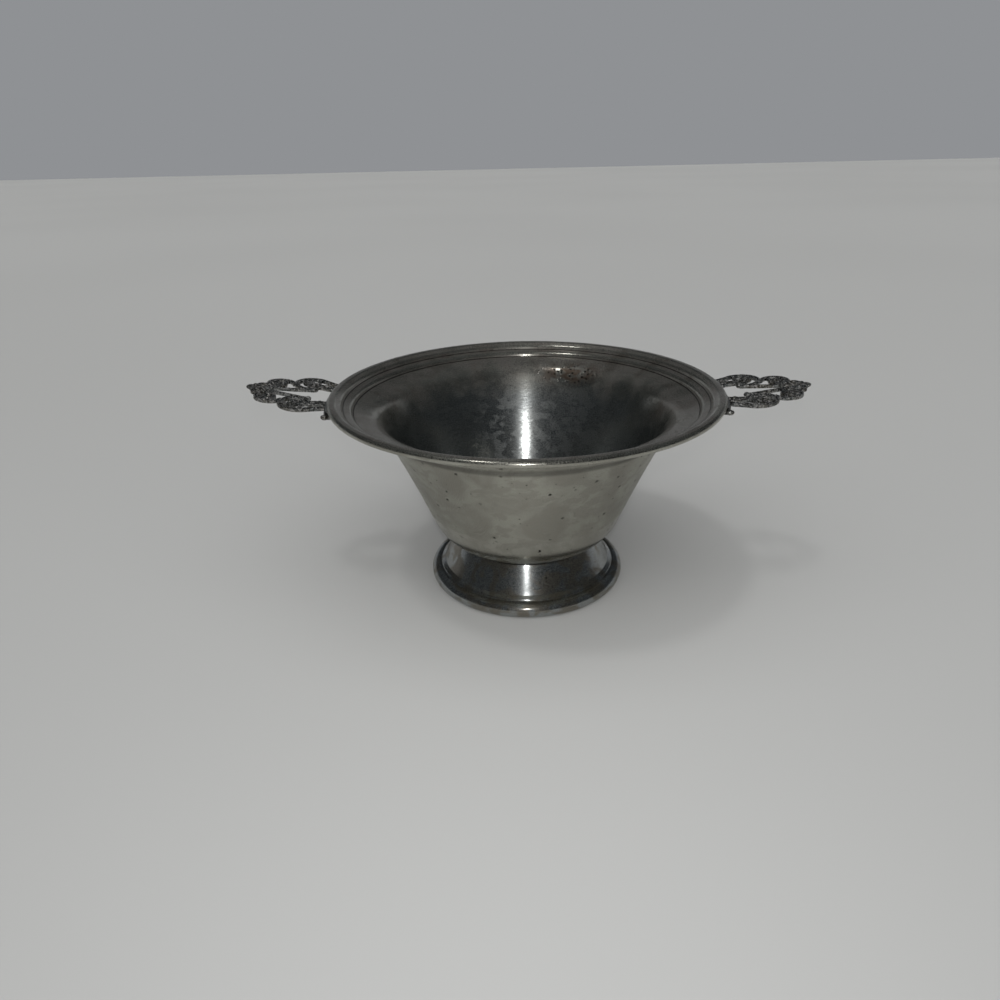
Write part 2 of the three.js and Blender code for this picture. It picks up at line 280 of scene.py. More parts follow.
def new_tree(name, inputs):
    """A geometry tree that takes and gives geometry, with its named inputs and their defaults."""
    tree = bpy.data.node_groups.new(name, "GeometryNodeTree")
    tree.interface.new_socket("Geometry", in_out="INPUT", socket_type="NodeSocketGeometry")
    tree.interface.new_socket("Geometry", in_out="OUTPUT", socket_type="NodeSocketGeometry")
    for label, kind, default in inputs:
        socket = tree.interface.new_socket(label, in_out="INPUT", socket_type=f"NodeSocket{kind}")
        if default is not None:
            socket.default_value = default
    return tree, tree.nodes.new("NodeGroupInput"), tree.nodes.new("NodeGroupOutput")


def give_tree(piece, tree, values):
    """Puts a tree on a piece, with values for its inputs by their labels."""
    modifier = piece.modifiers.new(tree.name, "NODES")
    modifier.node_group = tree
    for item in tree.interface.items_tree:
        if item.in_out == "INPUT" and item.name in values:
            modifier[item.identifier] = values[item.name]


def close_tree(tree, group_out, geometry, material):
    """Ends a tree with smooth shading, real geometry and its material."""
    smooth = add(tree, "GeometryNodeSetShadeSmooth", {"Geometry": geometry})
    real = add(tree, "GeometryNodeRealizeInstances", {"Geometry": smooth})
    painted = add(tree, "GeometryNodeSetMaterial", {"Geometry": real, "Material": material})
    fill(tree, group_out, {"Geometry": painted})


# What a spun piece keeps of its profile at each point: the distance along it in millimetres from its
# middle, and how sharply it bends there, above 0 on edges and below 0 in creases
PROFILE_MARKS = ("along", "bend")


def spinning_tree():
    """Turns a profile, drawn as radius along X and height along Z, about the Z axis."""
    tree, group_in, group_out = new_tree("Spin Sheet", [
        ("Turning Steps", "Int", 64),
        ("Weld Distance", "Float", 1e-6),
        ("Wave Depth", "Float", 0.0),
        ("Wave Length", "Float", 0.03),
        ("Material", "Material", None),
    ])
    profile = group_in.outputs["Geometry"]
    steps = group_in.outputs["Turning Steps"]
    rings = add(tree, "GeometryNodeAttributeDomainSize", {"Geometry": profile}).outputs["Point Count"]
    around = add(tree, "FunctionNodeIntegerMath", {0: steps, 1: 1}, operation="ADD")
    grid = add(tree, "GeometryNodeMeshGrid", {"Vertices X": rings, "Vertices Y": around})
    index = add(tree, "GeometryNodeInputIndex")
    ring = add(tree, "FunctionNodeIntegerMath", {0: index, 1: around}, operation="DIVIDE_FLOOR")
    place = add(tree, "FunctionNodeIntegerMath", {0: index, 1: around}, operation="MODULO")
    at = add(tree, "GeometryNodeInputPosition")
    drawn = add(tree, "GeometryNodeSampleIndex", {"Geometry": profile, "Value": at, "Index": ring},
                data_type="FLOAT_VECTOR")
    share = add(tree, "ShaderNodeMath", {0: place, 1: steps}, operation="DIVIDE")
    turn = add(tree, "ShaderNodeMath", {0: share, 1: math.tau}, operation="MULTIPLY")
    turned = add(tree, "ShaderNodeVectorRotate", {"Vector": drawn, "Angle": turn}, rotation_type="Z_AXIS")
    sheet = add(tree, "GeometryNodeSetPosition", {"Geometry": grid.outputs["Mesh"], "Position": turned})
    for name in PROFILE_MARKS:
        drawn = add(tree, "GeometryNodeInputNamedAttribute", {"Name": name}, data_type="FLOAT")
        value = add(tree, "GeometryNodeSampleIndex", {"Geometry": profile, "Value": drawn, "Index": ring},
                    data_type="FLOAT")
        sheet = add(tree, "GeometryNodeStoreNamedAttribute", {
            "Geometry": sheet, "Name": name, "Value": value,
        }, data_type="FLOAT", domain="POINT")
    welded = add(tree, "GeometryNodeMergeByDistance", {
        "Geometry": sheet, "Distance": group_in.outputs["Weld Distance"],
    })
    pitch = add(tree, "ShaderNodeMath", {0: 1.0, 1: group_in.outputs["Wave Length"]}, operation="DIVIDE")
    wave = add(tree, "ShaderNodeTexNoise", {"Scale": pitch, "Detail": 1.0})
    centred = add(tree, "ShaderNodeMath", {0: wave, 1: 0.5}, operation="SUBTRACT")
    depth = add(tree, "ShaderNodeMath", {0: centred, 1: group_in.outputs["Wave Depth"]},
                operation="MULTIPLY")
    normal = add(tree, "GeometryNodeInputNormal")
    push = add(tree, "ShaderNodeVectorMath", {0: normal, "Scale": depth}, operation="SCALE")
    wavy = add(tree, "GeometryNodeSetPosition", {"Geometry": welded, "Offset": push})
    close_tree(tree, group_out, wavy, group_in.outputs["Material"])
    return tree


def casting_tree():
    """Sweeps a section along wires that lie flat, and sets a bead on each loose point.

    The wires' half_width spreads the section sideways, so that a band can swell and taper at one thickness.
    """
    tree, group_in, group_out = new_tree("Cast Bands And Beads", [
        ("Section", "Object", None),
        ("Bead Half Height", "Float", 1.25),
        ("Bead Middle", "Float", -0.75),
        ("Material", "Material", None),
    ])
    wires = add(tree, "GeometryNodeMeshToCurve", {"Mesh": group_in.outputs["Geometry"]})
    at = add(tree, "GeometryNodeInputPosition")
    tangent = add(tree, "GeometryNodeInputTangent")
    sideways = add(tree, "ShaderNodeVectorMath", {0: tangent, 1: tuple(UP)}, operation="CROSS_PRODUCT")
    unit = add(tree, "ShaderNodeVectorMath", {0: sideways}, operation="NORMALIZE")
    for name, value in (("spine", at), ("side", unit)):
        wires = add(tree, "GeometryNodeStoreNamedAttribute", {
            "Geometry": wires, "Name": name, "Value": value,
        }, data_type="FLOAT_VECTOR", domain="POINT")
    section = add(tree, "GeometryNodeObjectInfo", {"Object": group_in.outputs["Section"]})
    outline = add(tree, "GeometryNodeMeshToCurve", {"Mesh": section.outputs["Geometry"]})
    outline = add(tree, "GeometryNodeStoreNamedAttribute", {
        "Geometry": outline, "Name": "section", "Value": at,
    }, data_type="FLOAT_VECTOR", domain="POINT")
    swept = add(tree, "GeometryNodeCurveToMesh", {
        "Curve": wires, "Profile Curve": outline, "Fill Caps": True,
    })
    spine, side, shape = (
        add(tree, "GeometryNodeInputNamedAttribute", {"Name": name}, data_type="FLOAT_VECTOR")
        for name in ("spine", "side", "section")
    )
    half_width = add(tree, "GeometryNodeInputNamedAttribute", {"Name": "half_width"}, data_type="FLOAT")
    parts = add(tree, "ShaderNodeSeparateXYZ", {0: shape})
    widened = add(tree, "ShaderNodeMath", {0: parts.outputs["X"], 1: half_width}, operation="MULTIPLY")
    across = add(tree, "ShaderNodeVectorMath", {0: side, "Scale": widened}, operation="SCALE")
    lift = add(tree, "ShaderNodeCombineXYZ", {"Z": parts.outputs["Y"]})
    shifted = add(tree, "ShaderNodeVectorMath", {0: across, 1: lift}, operation="ADD")
    final = add(tree, "ShaderNodeVectorMath", {0: spine, 1: shifted}, operation="ADD")
    bands = add(tree, "GeometryNodeSetPosition", {"Geometry": swept, "Position": final})
    bead_radius = add(tree, "GeometryNodeInputNamedAttribute", {"Name": "bead"}, data_type="FLOAT")
    is_bead = add(tree, "ShaderNodeMath", {0: bead_radius, 1: 0.0}, operation="GREATER_THAN")
    points = add(tree, "GeometryNodeMeshToPoints", {
        "Mesh": group_in.outputs["Geometry"], "Selection": is_bead,
    })
    ball = add(tree, "GeometryNodeMeshUVSphere", {
        "Segments": 2 * BEAD_RINGS, "Rings": BEAD_RINGS, "Radius": 1.0,
    })
    stretch = add(tree, "ShaderNodeCombineXYZ", {
        "X": bead_radius, "Y": bead_radius, "Z": group_in.outputs["Bead Half Height"],
    })
    beads = add(tree, "GeometryNodeInstanceOnPoints", {
        "Points": points, "Instance": ball.outputs["Mesh"], "Scale": stretch,
    })
    middle = add(tree, "ShaderNodeCombineXYZ", {"Z": group_in.outputs["Bead Middle"]})
    seated = add(tree, "GeometryNodeTransform", {"Geometry": beads, "Translation": middle})
    both = add(tree, "GeometryNodeJoinGeometry", {"Geometry": bands})
    fill(tree, both, {"Geometry": seated})
    close_tree(tree, group_out, both, group_in.outputs["Material"])
    return tree


# Faces of a bead from pole to pole
BEAD_RINGS = 12


# Making and finishing pieces

def wire(name, lines, attributes=None, closed=()):
    """A mesh object of open or closed lines of points, with an attribute value for each point."""
    points = [tuple(p) + (0.0,) * (3 - len(p)) for line in lines for p in line]
    edges = []
    start = 0
    for number_of_line, line in enumerate(lines):
        end = start + len(line)
        edges.extend((i, i + 1) for i in range(start, end - 1))
        if number_of_line in closed:
            edges.append((end - 1, start))
        start = end
    mesh = bpy.data.meshes.new(name)
    mesh.from_pydata(points, edges, [])
    for label, values in (attributes or {}).items():
        layer = mesh.attributes.new(label, "FLOAT", "POINT")
        layer.data.foreach_set("value", np.asarray(values, np.float32))
    piece = bpy.data.objects.new(name, mesh)
    bpy.context.scene.collection.objects.link(piece)
    return piece


def settled(piece):
    """Turns a piece with modifiers into a plain mesh whose faces point outwards."""
    bpy.context.view_layer.update()
    depsgraph = bpy.context.evaluated_depsgraph_get()
    mesh = bpy.data.meshes.new_from_object(
        piece.evaluated_get(depsgraph), preserve_all_data_layers=True, depsgraph=depsgraph,
    )
    piece.modifiers.clear()
    piece.data = mesh
    mesh.name = piece.name
    if len(mesh.polygons) == 0:
        raise RuntimeError(f"{piece.name} came out empty")
    if volume(mesh) < 0:
        mesh.flip_normals()
    return piece


def volume(mesh):
    """The volume inside a closed mesh, negative where its faces point inwards."""
    mesh.calc_loop_triangles()
    places = np.zeros(len(mesh.vertices) * 3)
    mesh.vertices.foreach_get("co", places)
    corners = np.zeros(len(mesh.loop_triangles) * 3, np.int32)
    mesh.loop_triangles.foreach_get("vertices", corners)
    a, b, c = places.reshape(-1, 3)[corners.reshape(-1, 3)].transpose(1, 0, 2)
    return float(np.sum(a * np.cross(b, c)) / 6)


def handed_over(piece, nodes):
    """Seats a finished piece in the frame, in place of its CAD nodes."""
    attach(piece, "root")
    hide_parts(*nodes)


def profile_marks(profile):
    """The marks that a profile hands to the piece that is spun from it."""
    steps = np.diff(profile, axis=0)
    lengths = np.linalg.norm(steps, axis=1)
    along = np.concatenate([[0.0], np.cumsum(lengths)])
    headings = np.arctan2(steps[:, 1], steps[:, 0])
    turns = (np.diff(headings) + math.pi) % math.tau - math.pi
    bends = 2 * turns / (lengths[1:] + lengths[:-1])
    bends = np.clip(np.concatenate([[0.0], bends, [0.0]]), -SHARPEST_BEND, SHARPEST_BEND)
    return {"along": along - along[-1] / 2, "bend": bends}


# Bend at which an edge or crease counts as fully sharp, per millimetre
SHARPEST_BEND = 1.6


def spun(name, profile, turning_steps, wave_depth, material):
    """A turned piece from its profile of radius and height in millimetres."""
    line = [(radius * MM, 0.0, height * MM) for radius, height in profile]
    piece = wire(name, [line], profile_marks(profile))
    tree = bpy.data.node_groups.get("Spin Sheet") or spinning_tree()
    give_tree(piece, tree, {
        "Turning Steps": turning_steps,
        "Wave Depth": wave_depth * MM,
        "Material": material,
    })
    return settled(piece)


# Materials, where a number beside a mask is the share that the mask counts for

def new_material(name):
    """An empty material, with its node tree and its one shader."""
    material = bpy.data.materials.new(name)
    material.use_nodes = True
    tree = material.node_tree
    tree.nodes.clear()
    shader = add(tree, "ShaderNodeBsdfPrincipled")
    add(tree, "ShaderNodeOutputMaterial", {"Surface": shader})
    return material, tree, shader


def object_place(tree):
    """Places on the piece in metres, from the frame's origin."""
    return add(tree, "ShaderNodeTexCoord").outputs["Object"]


def mark(tree, name):
    """The value that a piece's mesh keeps under a name."""
    return add(tree, "ShaderNodeAttribute", attribute_name=name).outputs["Fac"]


def turned_place(tree, stretch):
    """A spun piece rolled out on a ring of its own: patterns are drawn out around it by stretch."""
    level = add(tree, "ShaderNodeVectorMath", {0: object_place(tree), 1: (1, 1, 0)}, operation="MULTIPLY")
    outward = add(tree, "ShaderNodeVectorMath", {0: level}, operation="NORMALIZE")
    ring = add(tree, "ShaderNodeVectorMath", {0: outward, "Scale": ROLLED_RADIUS}, operation="SCALE")
    rise = add(tree, "ShaderNodeMath", {0: mark(tree, "along"), 1: stretch * MM}, operation="MULTIPLY")
    lift = add(tree, "ShaderNodeCombineXYZ", {"Z": rise})
    return add(tree, "ShaderNodeVectorMath", {0: ring, 1: lift}, operation="ADD")


# Radius in metres at which patterns around a spun piece have their written size
ROLLED_RADIUS = 50 * MM


def patches(tree, grain_mm, low, high, detail=4.0, distortion=0.0, stretch=None):
    """A mask of cloudy patches of about a size in millimetres, from 0 below low to 1 above high.

    A stretch draws them out around a spun piece.
    """
    place = turned_place(tree, stretch) if stretch else object_place(tree)
    noise = add(tree, "ShaderNodeTexNoise", {
        "Vector": place, "Scale": 1 / (grain_mm * MM), "Detail": detail, "Distortion": distortion,
    })
    return spread(tree, noise, low, high)


def spread(tree, value, low, high):
    """A smooth mask from 0 where a value is low to 1 where it is high.

    Low may be above high, and the mask then grows as the value falls.
    """
    return add(tree, "ShaderNodeMapRange", {"Value": value, "From Min": low, "From Max": high},
               interpolation_type="SMOOTHSTEP")


def product(tree, *factors):
    """The product of several masks or numbers."""
    result = factors[0]
    for factor in factors[1:]:
        result = add(tree, "ShaderNodeMath", {0: result, 1: factor}, operation="MULTIPLY")
    return result


def blended(tree, base, top, mask):
    """One colour over another, by a mask."""
    ends = {
        key: (*value, 1.0) if not isinstance(value, bpy.types.NodeSocket) else value
        for key, value in ((6, base), (7, top))
    }
    return add(tree, "ShaderNodeMix", {0: mask, **ends}, data_type="RGBA").outputs[2]


def between(tree, mask, low, high):
    """A mask spread from one number to another."""
    return add(tree, "ShaderNodeMapRange", {"Value": mask, "To Min": low, "To Max": high})


def either(tree, *masks):
    """The greatest of several masks."""
    result = masks[0]
    for mask in masks[1:]:
        result = add(tree, "ShaderNodeMath", {0: result, 1: mask}, operation="MAXIMUM")
    return result


def pits(tree, spacing_mm, radius_mm, share):
    """A mask of small uneven pits, in a share of cells of a size."""
    place = object_place(tree)
    bent = add(tree, "ShaderNodeTexNoise", {"Vector": place, "Scale": 1 / (PIT_NOTCH * MM), "Detail": 2.0})
    depth = PIT_NOTCH_DEPTH * radius_mm * MM
    nudge = add(tree, "ShaderNodeVectorMath", {0: bent.outputs["Color"], "Scale": depth}, operation="SCALE")
    moved = add(tree, "ShaderNodeVectorMath", {0: place, 1: nudge}, operation="ADD")
    cells = add(tree, "ShaderNodeTexVoronoi", {"Vector": moved, "Scale": 1 / (spacing_mm * MM)})
    edge = radius_mm / spacing_mm
    near = spread(tree, cells.outputs["Distance"], edge, edge * PIT_FLOOR)
    chosen = add(tree, "ShaderNodeSeparateColor", {"Color": cells.outputs["Color"]})
    some = add(tree, "ShaderNodeMath", {0: chosen, 1: share}, operation="LESS_THAN")
    return product(tree, near, some)


# Size in millimetres of the notches in a pit's edge, their depth as a share of its radius, and the share
# of its radius that is as dark as it gets
PIT_NOTCH = 0.5
PIT_NOTCH_DEPTH = 1.2
PIT_FLOOR = 0.4


def bump(tree, height, depth_mm, below=None):
    """A normal that a pattern of 0 to 1 lifts by a depth, over an earlier one."""
    values = {"Height": height, "Distance": depth_mm * MM, "Strength": 1.0}
    if below is not None:
        values["Normal"] = below
    return add(tree, "ShaderNodeBump", values)


def around_spot(tree, centre_mm, reach_mm):
    """A mask that is 1 around a point and fades to 0 at its reach along each axis."""
    centre = tuple(v * MM for v in centre_mm)
    shrink = tuple(1 / (v * MM) for v in reach_mm)
    shifted = add(tree, "ShaderNodeVectorMath", {0: object_place(tree), 1: centre}, operation="SUBTRACT")
    scaled = add(tree, "ShaderNodeVectorMath", {0: shifted, 1: shrink}, operation="MULTIPLY")
    distance = add(tree, "ShaderNodeVectorMath", {0: scaled}, operation="LENGTH")
    return spread(tree, distance.outputs["Value"], 1.0, SPOT_CORE)


# Share of a spot's reach inside which its mask is 1
SPOT_CORE = 0.25


def sheen(tree, haze, smooth, dull):
    """Roughness of a handled spun metal: a share of its fine grain is dull, and the rest still shines.

    The mix of both gives a light a sharp core and a wide soft glow, as on old pewter. The real grain is too
    fine to show, so it is drawn coarser.
    """
    above = add(tree, "ShaderNodeMath", {0: haze, 1: patches(tree, **GRAIN)}, operation="SUBTRACT")
    return between(tree, spread(tree, above, -GRAIN_SOFTNESS, GRAIN_SOFTNESS), smooth, dull)


def lathe_turned(tree, shader, uneven, dent_depth_mm, holes, hole_depth_mm):
    """Gives a spun metal reflections drawn out across the lathe's lines, shallow dents, and pits."""
    dents = bump(tree, uneven, dent_depth_mm)
    fill(tree, shader, {
        "Metallic": 1.0,
        "Anisotropic": 0.6,
        "Anisotropic Rotation": QUARTER_TURN,
        "Tangent": add(tree, "ShaderNodeTangent", direction_type="RADIAL", axis="Z"),
        "Normal": bump(tree, between(tree, holes, 1.0, 0.0), hole_depth_mm, below=dents),
    })


# How gradually haze fills the dull grain, and a quarter of a turn as the shader counts turns
GRAIN_SOFTNESS = 0.12
QUARTER_TURN = 0.25


def flange_film(tree, along, bend):
    """Masks on the flange where it isn't worn down to clean metal: all of it, its brown film, and brown
    blotches.
    """
    wander = patches(tree, **FILM_EDGE)
    reach = add(tree, "ShaderNodeMath", {0: wander, 1: -FILM_WANDER, 2: along}, operation="MULTIPLY_ADD")
    flange = product(tree, spread(tree, along, *FLANGE), spread(tree, reach, *FILM))
    unworn = product(tree, flange, between(tree, spread(tree, bend, *WORN_EDGE), 1.0, 0.25))
    film = product(tree, unworn, between(tree, patches(tree, **FILM_CLOUDS), 0.45, 1.0))
    blotches = product(tree, unworn, patches(tree, **BLOTCHES), 0.4)
    return unworn, film, blotches


def creases_and_painted_shade(tree, along, bend):
    """A mask of dirt in the creases inside, and of painted shade: a painted shadow line under the throat,
    and painted shade under the lip except at its front.
    """
    creases = product(tree, spread(tree, bend, *DIRTY_CREASE), spread(tree, along, *CREASES_INSIDE))
    unshaded_lip_front = around_spot(tree, UNSHADED_LIP_PLACE, UNSHADED_LIP_REACH)
    # Painted shade on the underside of the lip's roll, left off at the front of the lip
    painted_lip_shade = product(tree, spread(tree, along, *PAINTED_LIP_SHADE), spread(tree, along, *PAINTED_LIP_SHADE_END))
    # Painted shadow line on the outside, just under the throat
    painted_throat_shadow = product(tree, spread(tree, along, *PAINTED_THROAT_SHADOW), spread(tree, along, *PAINTED_THROAT_SHADOW_END))
    return either(tree, creases, product(tree, painted_lip_shade, between(tree, unshaded_lip_front, 0.85, 0.0)),
                  product(tree, painted_throat_shadow, 0.45))


def bowl_pits(tree, outside, spot):
    """A mask of pits: large and small ones scattered outside the bowl, and a dense patch in its stain."""
    marks = product(tree, outside, between(tree, patches(tree, **PITTED_AREAS), 0.35, 1.0))
    return either(tree, *(
        product(tree, pits(tree, *sizes), where)
        for sizes, where in ((LARGE_PITS, marks), (SMALL_PITS, marks), (STAIN_PITS, spot))
    ))


def spun_pewter(finish):
    """Pewter, spun over a chuck and never polished since: soft sheen, hazy clouds, a brown film on the
    flange, worn edges, dirt in the creases, painted shade under the lip and the throat, one pitted stain."""
    material, tree, shader = new_material("Aged Spun Pewter")
    along = mark(tree, "along")
    bend = mark(tree, "bend")
    inside = spread(tree, along, *INSIDE)
    outside = spread(tree, along, *OUTSIDE)
    clouds = patches(tree, **CLOUDS)
    smears = patches(tree, **SMEARS)
    lines = patches(tree, **LATHE_LINES)
    unworn, film, blotches = flange_film(tree, along, bend)
    spot = around_spot(tree, STAIN_PLACE, STAIN_REACH)
    stain = product(tree, spot, patches(tree, **STAIN_CLOUDS))
    rubbed = product(tree, around_spot(tree, RUBBED_PLACE, RUBBED_REACH), smears)
    # Dirt in the creases inside, and painted shade under the lip and the throat, all in the pit colour
    dirt = creases_and_painted_shade(tree, along, bend)
    holes = bowl_pits(tree, outside, spot)

    mottled = either(tree, product(tree, clouds, 0.55), product(tree, smears, 0.4))
    clean = blended(tree, finish.pewter, finish.wiped, inside)
    metal = blended(tree, clean, finish.tarnish, product(tree, mottled, between(tree, inside, 0.9, 0.3)))
    filmed = blended(tree, metal, finish.film, film)
    stained = blended(tree, filmed, finish.stain, either(tree, stain, blotches))

    smudged = either(tree, between(tree, smears, 0.3, 0.56), product(tree, rubbed, 0.7),
                     product(tree, outside, 0.72))
    dull = either(tree, smudged, between(tree, unworn, 0.0, 0.6), stain, dirt)
    base = add(tree, "ShaderNodeMath", {0: dull, 1: product(tree, lines, 0.1)}, operation="SUBTRACT")
    haze = product(tree, base, between(tree, spread(tree, along, *BOTTOM), 1.0, 0.0))
    coated = either(tree, film, product(tree, rubbed, 0.9))

    lathe_turned(tree, shader, patches(tree, **BOWL_DENTS), BOWL_DENT_DEPTH, holes, BOWL_PIT_DEPTH)
    fill(tree, shader, {
        "Base Color": blended(tree, stained, finish.pit, either(tree, holes, dirt)),
        "Roughness": sheen(tree, haze, SMOOTH_BOWL, between(tree, outside, DULL_INSIDE, DULL_OUTSIDE)),
        "Metallic": between(tree, coated, 1.0, FILM_METAL),
    })
    return material


def foot_pewter(finish):
    """Pewter, spun and much handled: cleaner and smoother than the bowl, so that it mirrors a dark room."""
    material, tree, shader = new_material("Handled Spun Pewter")
    clouds = patches(tree, **FOOT_CLOUDS)
    specks = pits(tree, *FOOT_PITS)
    dirt = product(tree, spread(tree, mark(tree, "bend"), *DIRTY_FOOT_CREASE), 0.6)
    metal = blended(tree, finish.wiped, finish.tarnish, clouds)
    haze = either(tree, between(tree, clouds, 0.26, 0.48), dirt)
    lathe_turned(tree, shader, patches(tree, **FOOT_DENTS), FOOT_DENT_DEPTH, specks, FOOT_PIT_DEPTH)
    fill(tree, shader, {
        "Base Color": blended(tree, metal, finish.pit, either(tree, specks, dirt)),
        "Roughness": sheen(tree, haze, SMOOTH_FOOT, DULL_FOOT),
    })
    return material


def cast_pewter(finish):
    """Pewter, cast in a mould and worn by hands: black in the recesses, with painted shade on steep sides,
    bright on what stands proud, with specks of pale polish residue."""
    material, tree, shader = new_material("Worn Cast Pewter")
    facing = add(tree, "ShaderNodeTexCoord").outputs["Normal"]
    upward = add(tree, "ShaderNodeSeparateXYZ", {0: facing}).outputs["Z"]
    # Painted shade: the less a side of the casting faces upward, the darker it is painted
    painted_side_shade = spread(tree, upward, *STEEP_SIDE)
    dark = either(tree, spread(tree, mark(tree, "hollow"), *DARK_HOLLOW), product(tree, painted_side_shade, 0.3))
    oxide_grime_and_painted_shade = either(tree, dark, product(tree, patches(tree, **CAST_GRIME), 0.75))
    residue = patches(tree, **RESIDUE)
    worn = blended(tree, finish.wiped, finish.tarnish, patches(tree, **CAST_TARNISH))
    dull = blended(tree, worn, finish.oxide, oxide_grime_and_painted_shade)
    fill(tree, shader, {
        "Base Color": blended(tree, dull, finish.residue, product(tree, residue, 0.8)),
        "Roughness": between(tree, oxide_grime_and_painted_shade, SMOOTH_CASTING, DULL_CASTING),
        "Normal": bump(tree, patches(tree, **CAST_LUMPS), CAST_LUMP_DEPTH),
        "Metallic": between(tree, residue, 1.0, RESIDUE_METAL),
    })
    return material


def soft_solder(finish):
    """Tin and lead solder, run in with an iron: dull, slightly lumpy, a little darker than clean pewter."""
    material, tree, shader = new_material("Soft Solder")
    dirt = patches(tree, **SOLDER_DIRT)
    fill(tree, shader, {
        "Base Color": blended(tree, finish.solder, finish.oxide, product(tree, dirt, 0.6)),
        "Roughness": between(tree, dirt, SMOOTH_SOLDER, DULL_SOLDER),
        "Normal": bump(tree, patches(tree, **SOLDER_LUMPS), SOLDER_LUMP_DEPTH),
        "Metallic": 1.0,
    })
    return material


# Patches in the finishes, as the patches function takes them
CLOUDS = dict(grain_mm=14, low=0.38, high=0.64, detail=5.0, distortion=0.5)
SMEARS = dict(grain_mm=6, low=0.48, high=0.58, detail=6.0, stretch=1.6)
LATHE_LINES = dict(grain_mm=3.5, low=0.42, high=0.6, detail=2.0, stretch=14)
STAIN_CLOUDS = dict(grain_mm=4, low=0.38, high=0.6, detail=6.0, stretch=1.5)
FILM_EDGE = dict(grain_mm=13, low=0.35, high=0.65, detail=5.0)
FILM_CLOUDS = dict(grain_mm=7, low=0.35, high=0.65, detail=6.0)
BLOTCHES = dict(grain_mm=9, low=0.48, high=0.68, detail=5.0, distortion=0.4)
PITTED_AREAS = dict(grain_mm=12, low=0.4, high=0.6)
BOWL_DENTS = dict(grain_mm=2.6, low=0.3, high=0.7, detail=2.0, stretch=3)
FOOT_CLOUDS = dict(grain_mm=6, low=0.44, high=0.58, detail=5.0, distortion=0.6)
FOOT_DENTS = dict(grain_mm=2.2, low=0.3, high=0.7, detail=2.0, stretch=3)
GRAIN = dict(grain_mm=0.22, low=0.3, high=0.7, detail=1.0, stretch=1.5)
CAST_GRIME = dict(grain_mm=0.9, low=0.42, high=0.58)
CAST_TARNISH = dict(grain_mm=4, low=0.35, high=0.7)
CAST_LUMPS = dict(grain_mm=0.9, low=0.35, high=0.65)
RESIDUE = dict(grain_mm=0.8, low=0.53, high=0.61, detail=2.0)
SOLDER_DIRT = dict(grain_mm=0.8, low=0.5, high=0.75)
SOLDER_LUMPS = dict(grain_mm=2, low=0.3, high=0.7)

# Depths of the dents, pits and lumps in millimetres
BOWL_DENT_DEPTH = 0.008
BOWL_PIT_DEPTH = 0.12
FOOT_DENT_DEPTH = 0.004
FOOT_PIT_DEPTH = 0.1
CAST_LUMP_DEPTH = 0.2
SOLDER_LUMP_DEPTH = 0.1

# Where a part of the bowl's finish starts to show and where it is full, in millimetres along the profile
# from its middle at the lip's edge: above 0 inside the bowl, below 0 outside. Two of them end at a second
# pair.
INSIDE = (20, 38)
OUTSIDE = (0, -2)
BOTTOM = (-61.5, -64.5)
FLANGE = (0.5, 2)
FILM = (29, 9)
CREASES_INSIDE = (0, 1)
# The next two: painted shade under the lip's roll
PAINTED_LIP_SHADE = (-0.3, -1.5)
PAINTED_LIP_SHADE_END = (-9, -6)
# The next two: a painted shadow line on the outside, just under the throat
PAINTED_THROAT_SHADOW = (-23.5, -25)
PAINTED_THROAT_SHADOW_END = (-27.5, -26)

# How far in millimetres the film's edge wanders, and how metallic the film and the polish residue leave
# the metal
FILM_WANDER = 13
FILM_METAL = 0.85
RESIDUE_METAL = 0.55

# Bends per millimetre at which wear and dirt start and are full, and the same for the hollows of a
# casting and for how far upward it faces, which sets the painted shade on its steep sides
WORN_EDGE = (0.2, 0.5)
DIRTY_CREASE = (-0.25, -1)
DIRTY_FOOT_CREASE = (-0.4, -1.2)
DARK_HOLLOW = (0.4, 0.66)
STEEP_SIDE = (0.75, 0.2)

# Pits: spacing and radius in millimetres, and the share of places that have one
LARGE_PITS = (4.0, 0.85, 0.4)
SMALL_PITS = (2.4, 0.4, 0.25)
STAIN_PITS = (1.5, 0.7, 0.6)
FOOT_PITS = (3.6, 0.5, 0.22)

# Roughness of the metals where they shine and where they are dull
SMOOTH_BOWL = 0.2
DULL_INSIDE = 0.52
DULL_OUTSIDE = 0.68
SMOOTH_FOOT = 0.17
DULL_FOOT = 0.5
SMOOTH_CASTING = 0.22
DULL_CASTING = 0.55
SMOOTH_SOLDER = 0.32
DULL_SOLDER = 0.55

# Middle and reach in millimetres of the brown pitted stain, high on the far side inside the bowl
STAIN_PLACE = (22.0, 52.0, 70.0)
STAIN_REACH = (24.0, 14.0, 7.0)

# Middle and reach in millimetres of the hazy smudges on the far side inside the bowl
RUBBED_PLACE = (-6.0, 52.0, 40.0)
RUBBED_REACH = (22.0, 30.0, 36.0)

# Middle and reach in millimetres of the front of the lip, where the painted shade under it is left off
UNSHADED_LIP_PLACE = (0.0, -75.0, 79.0)
UNSHADED_LIP_REACH = (48.0, 40.0, 30.0)


# Bowl and foot

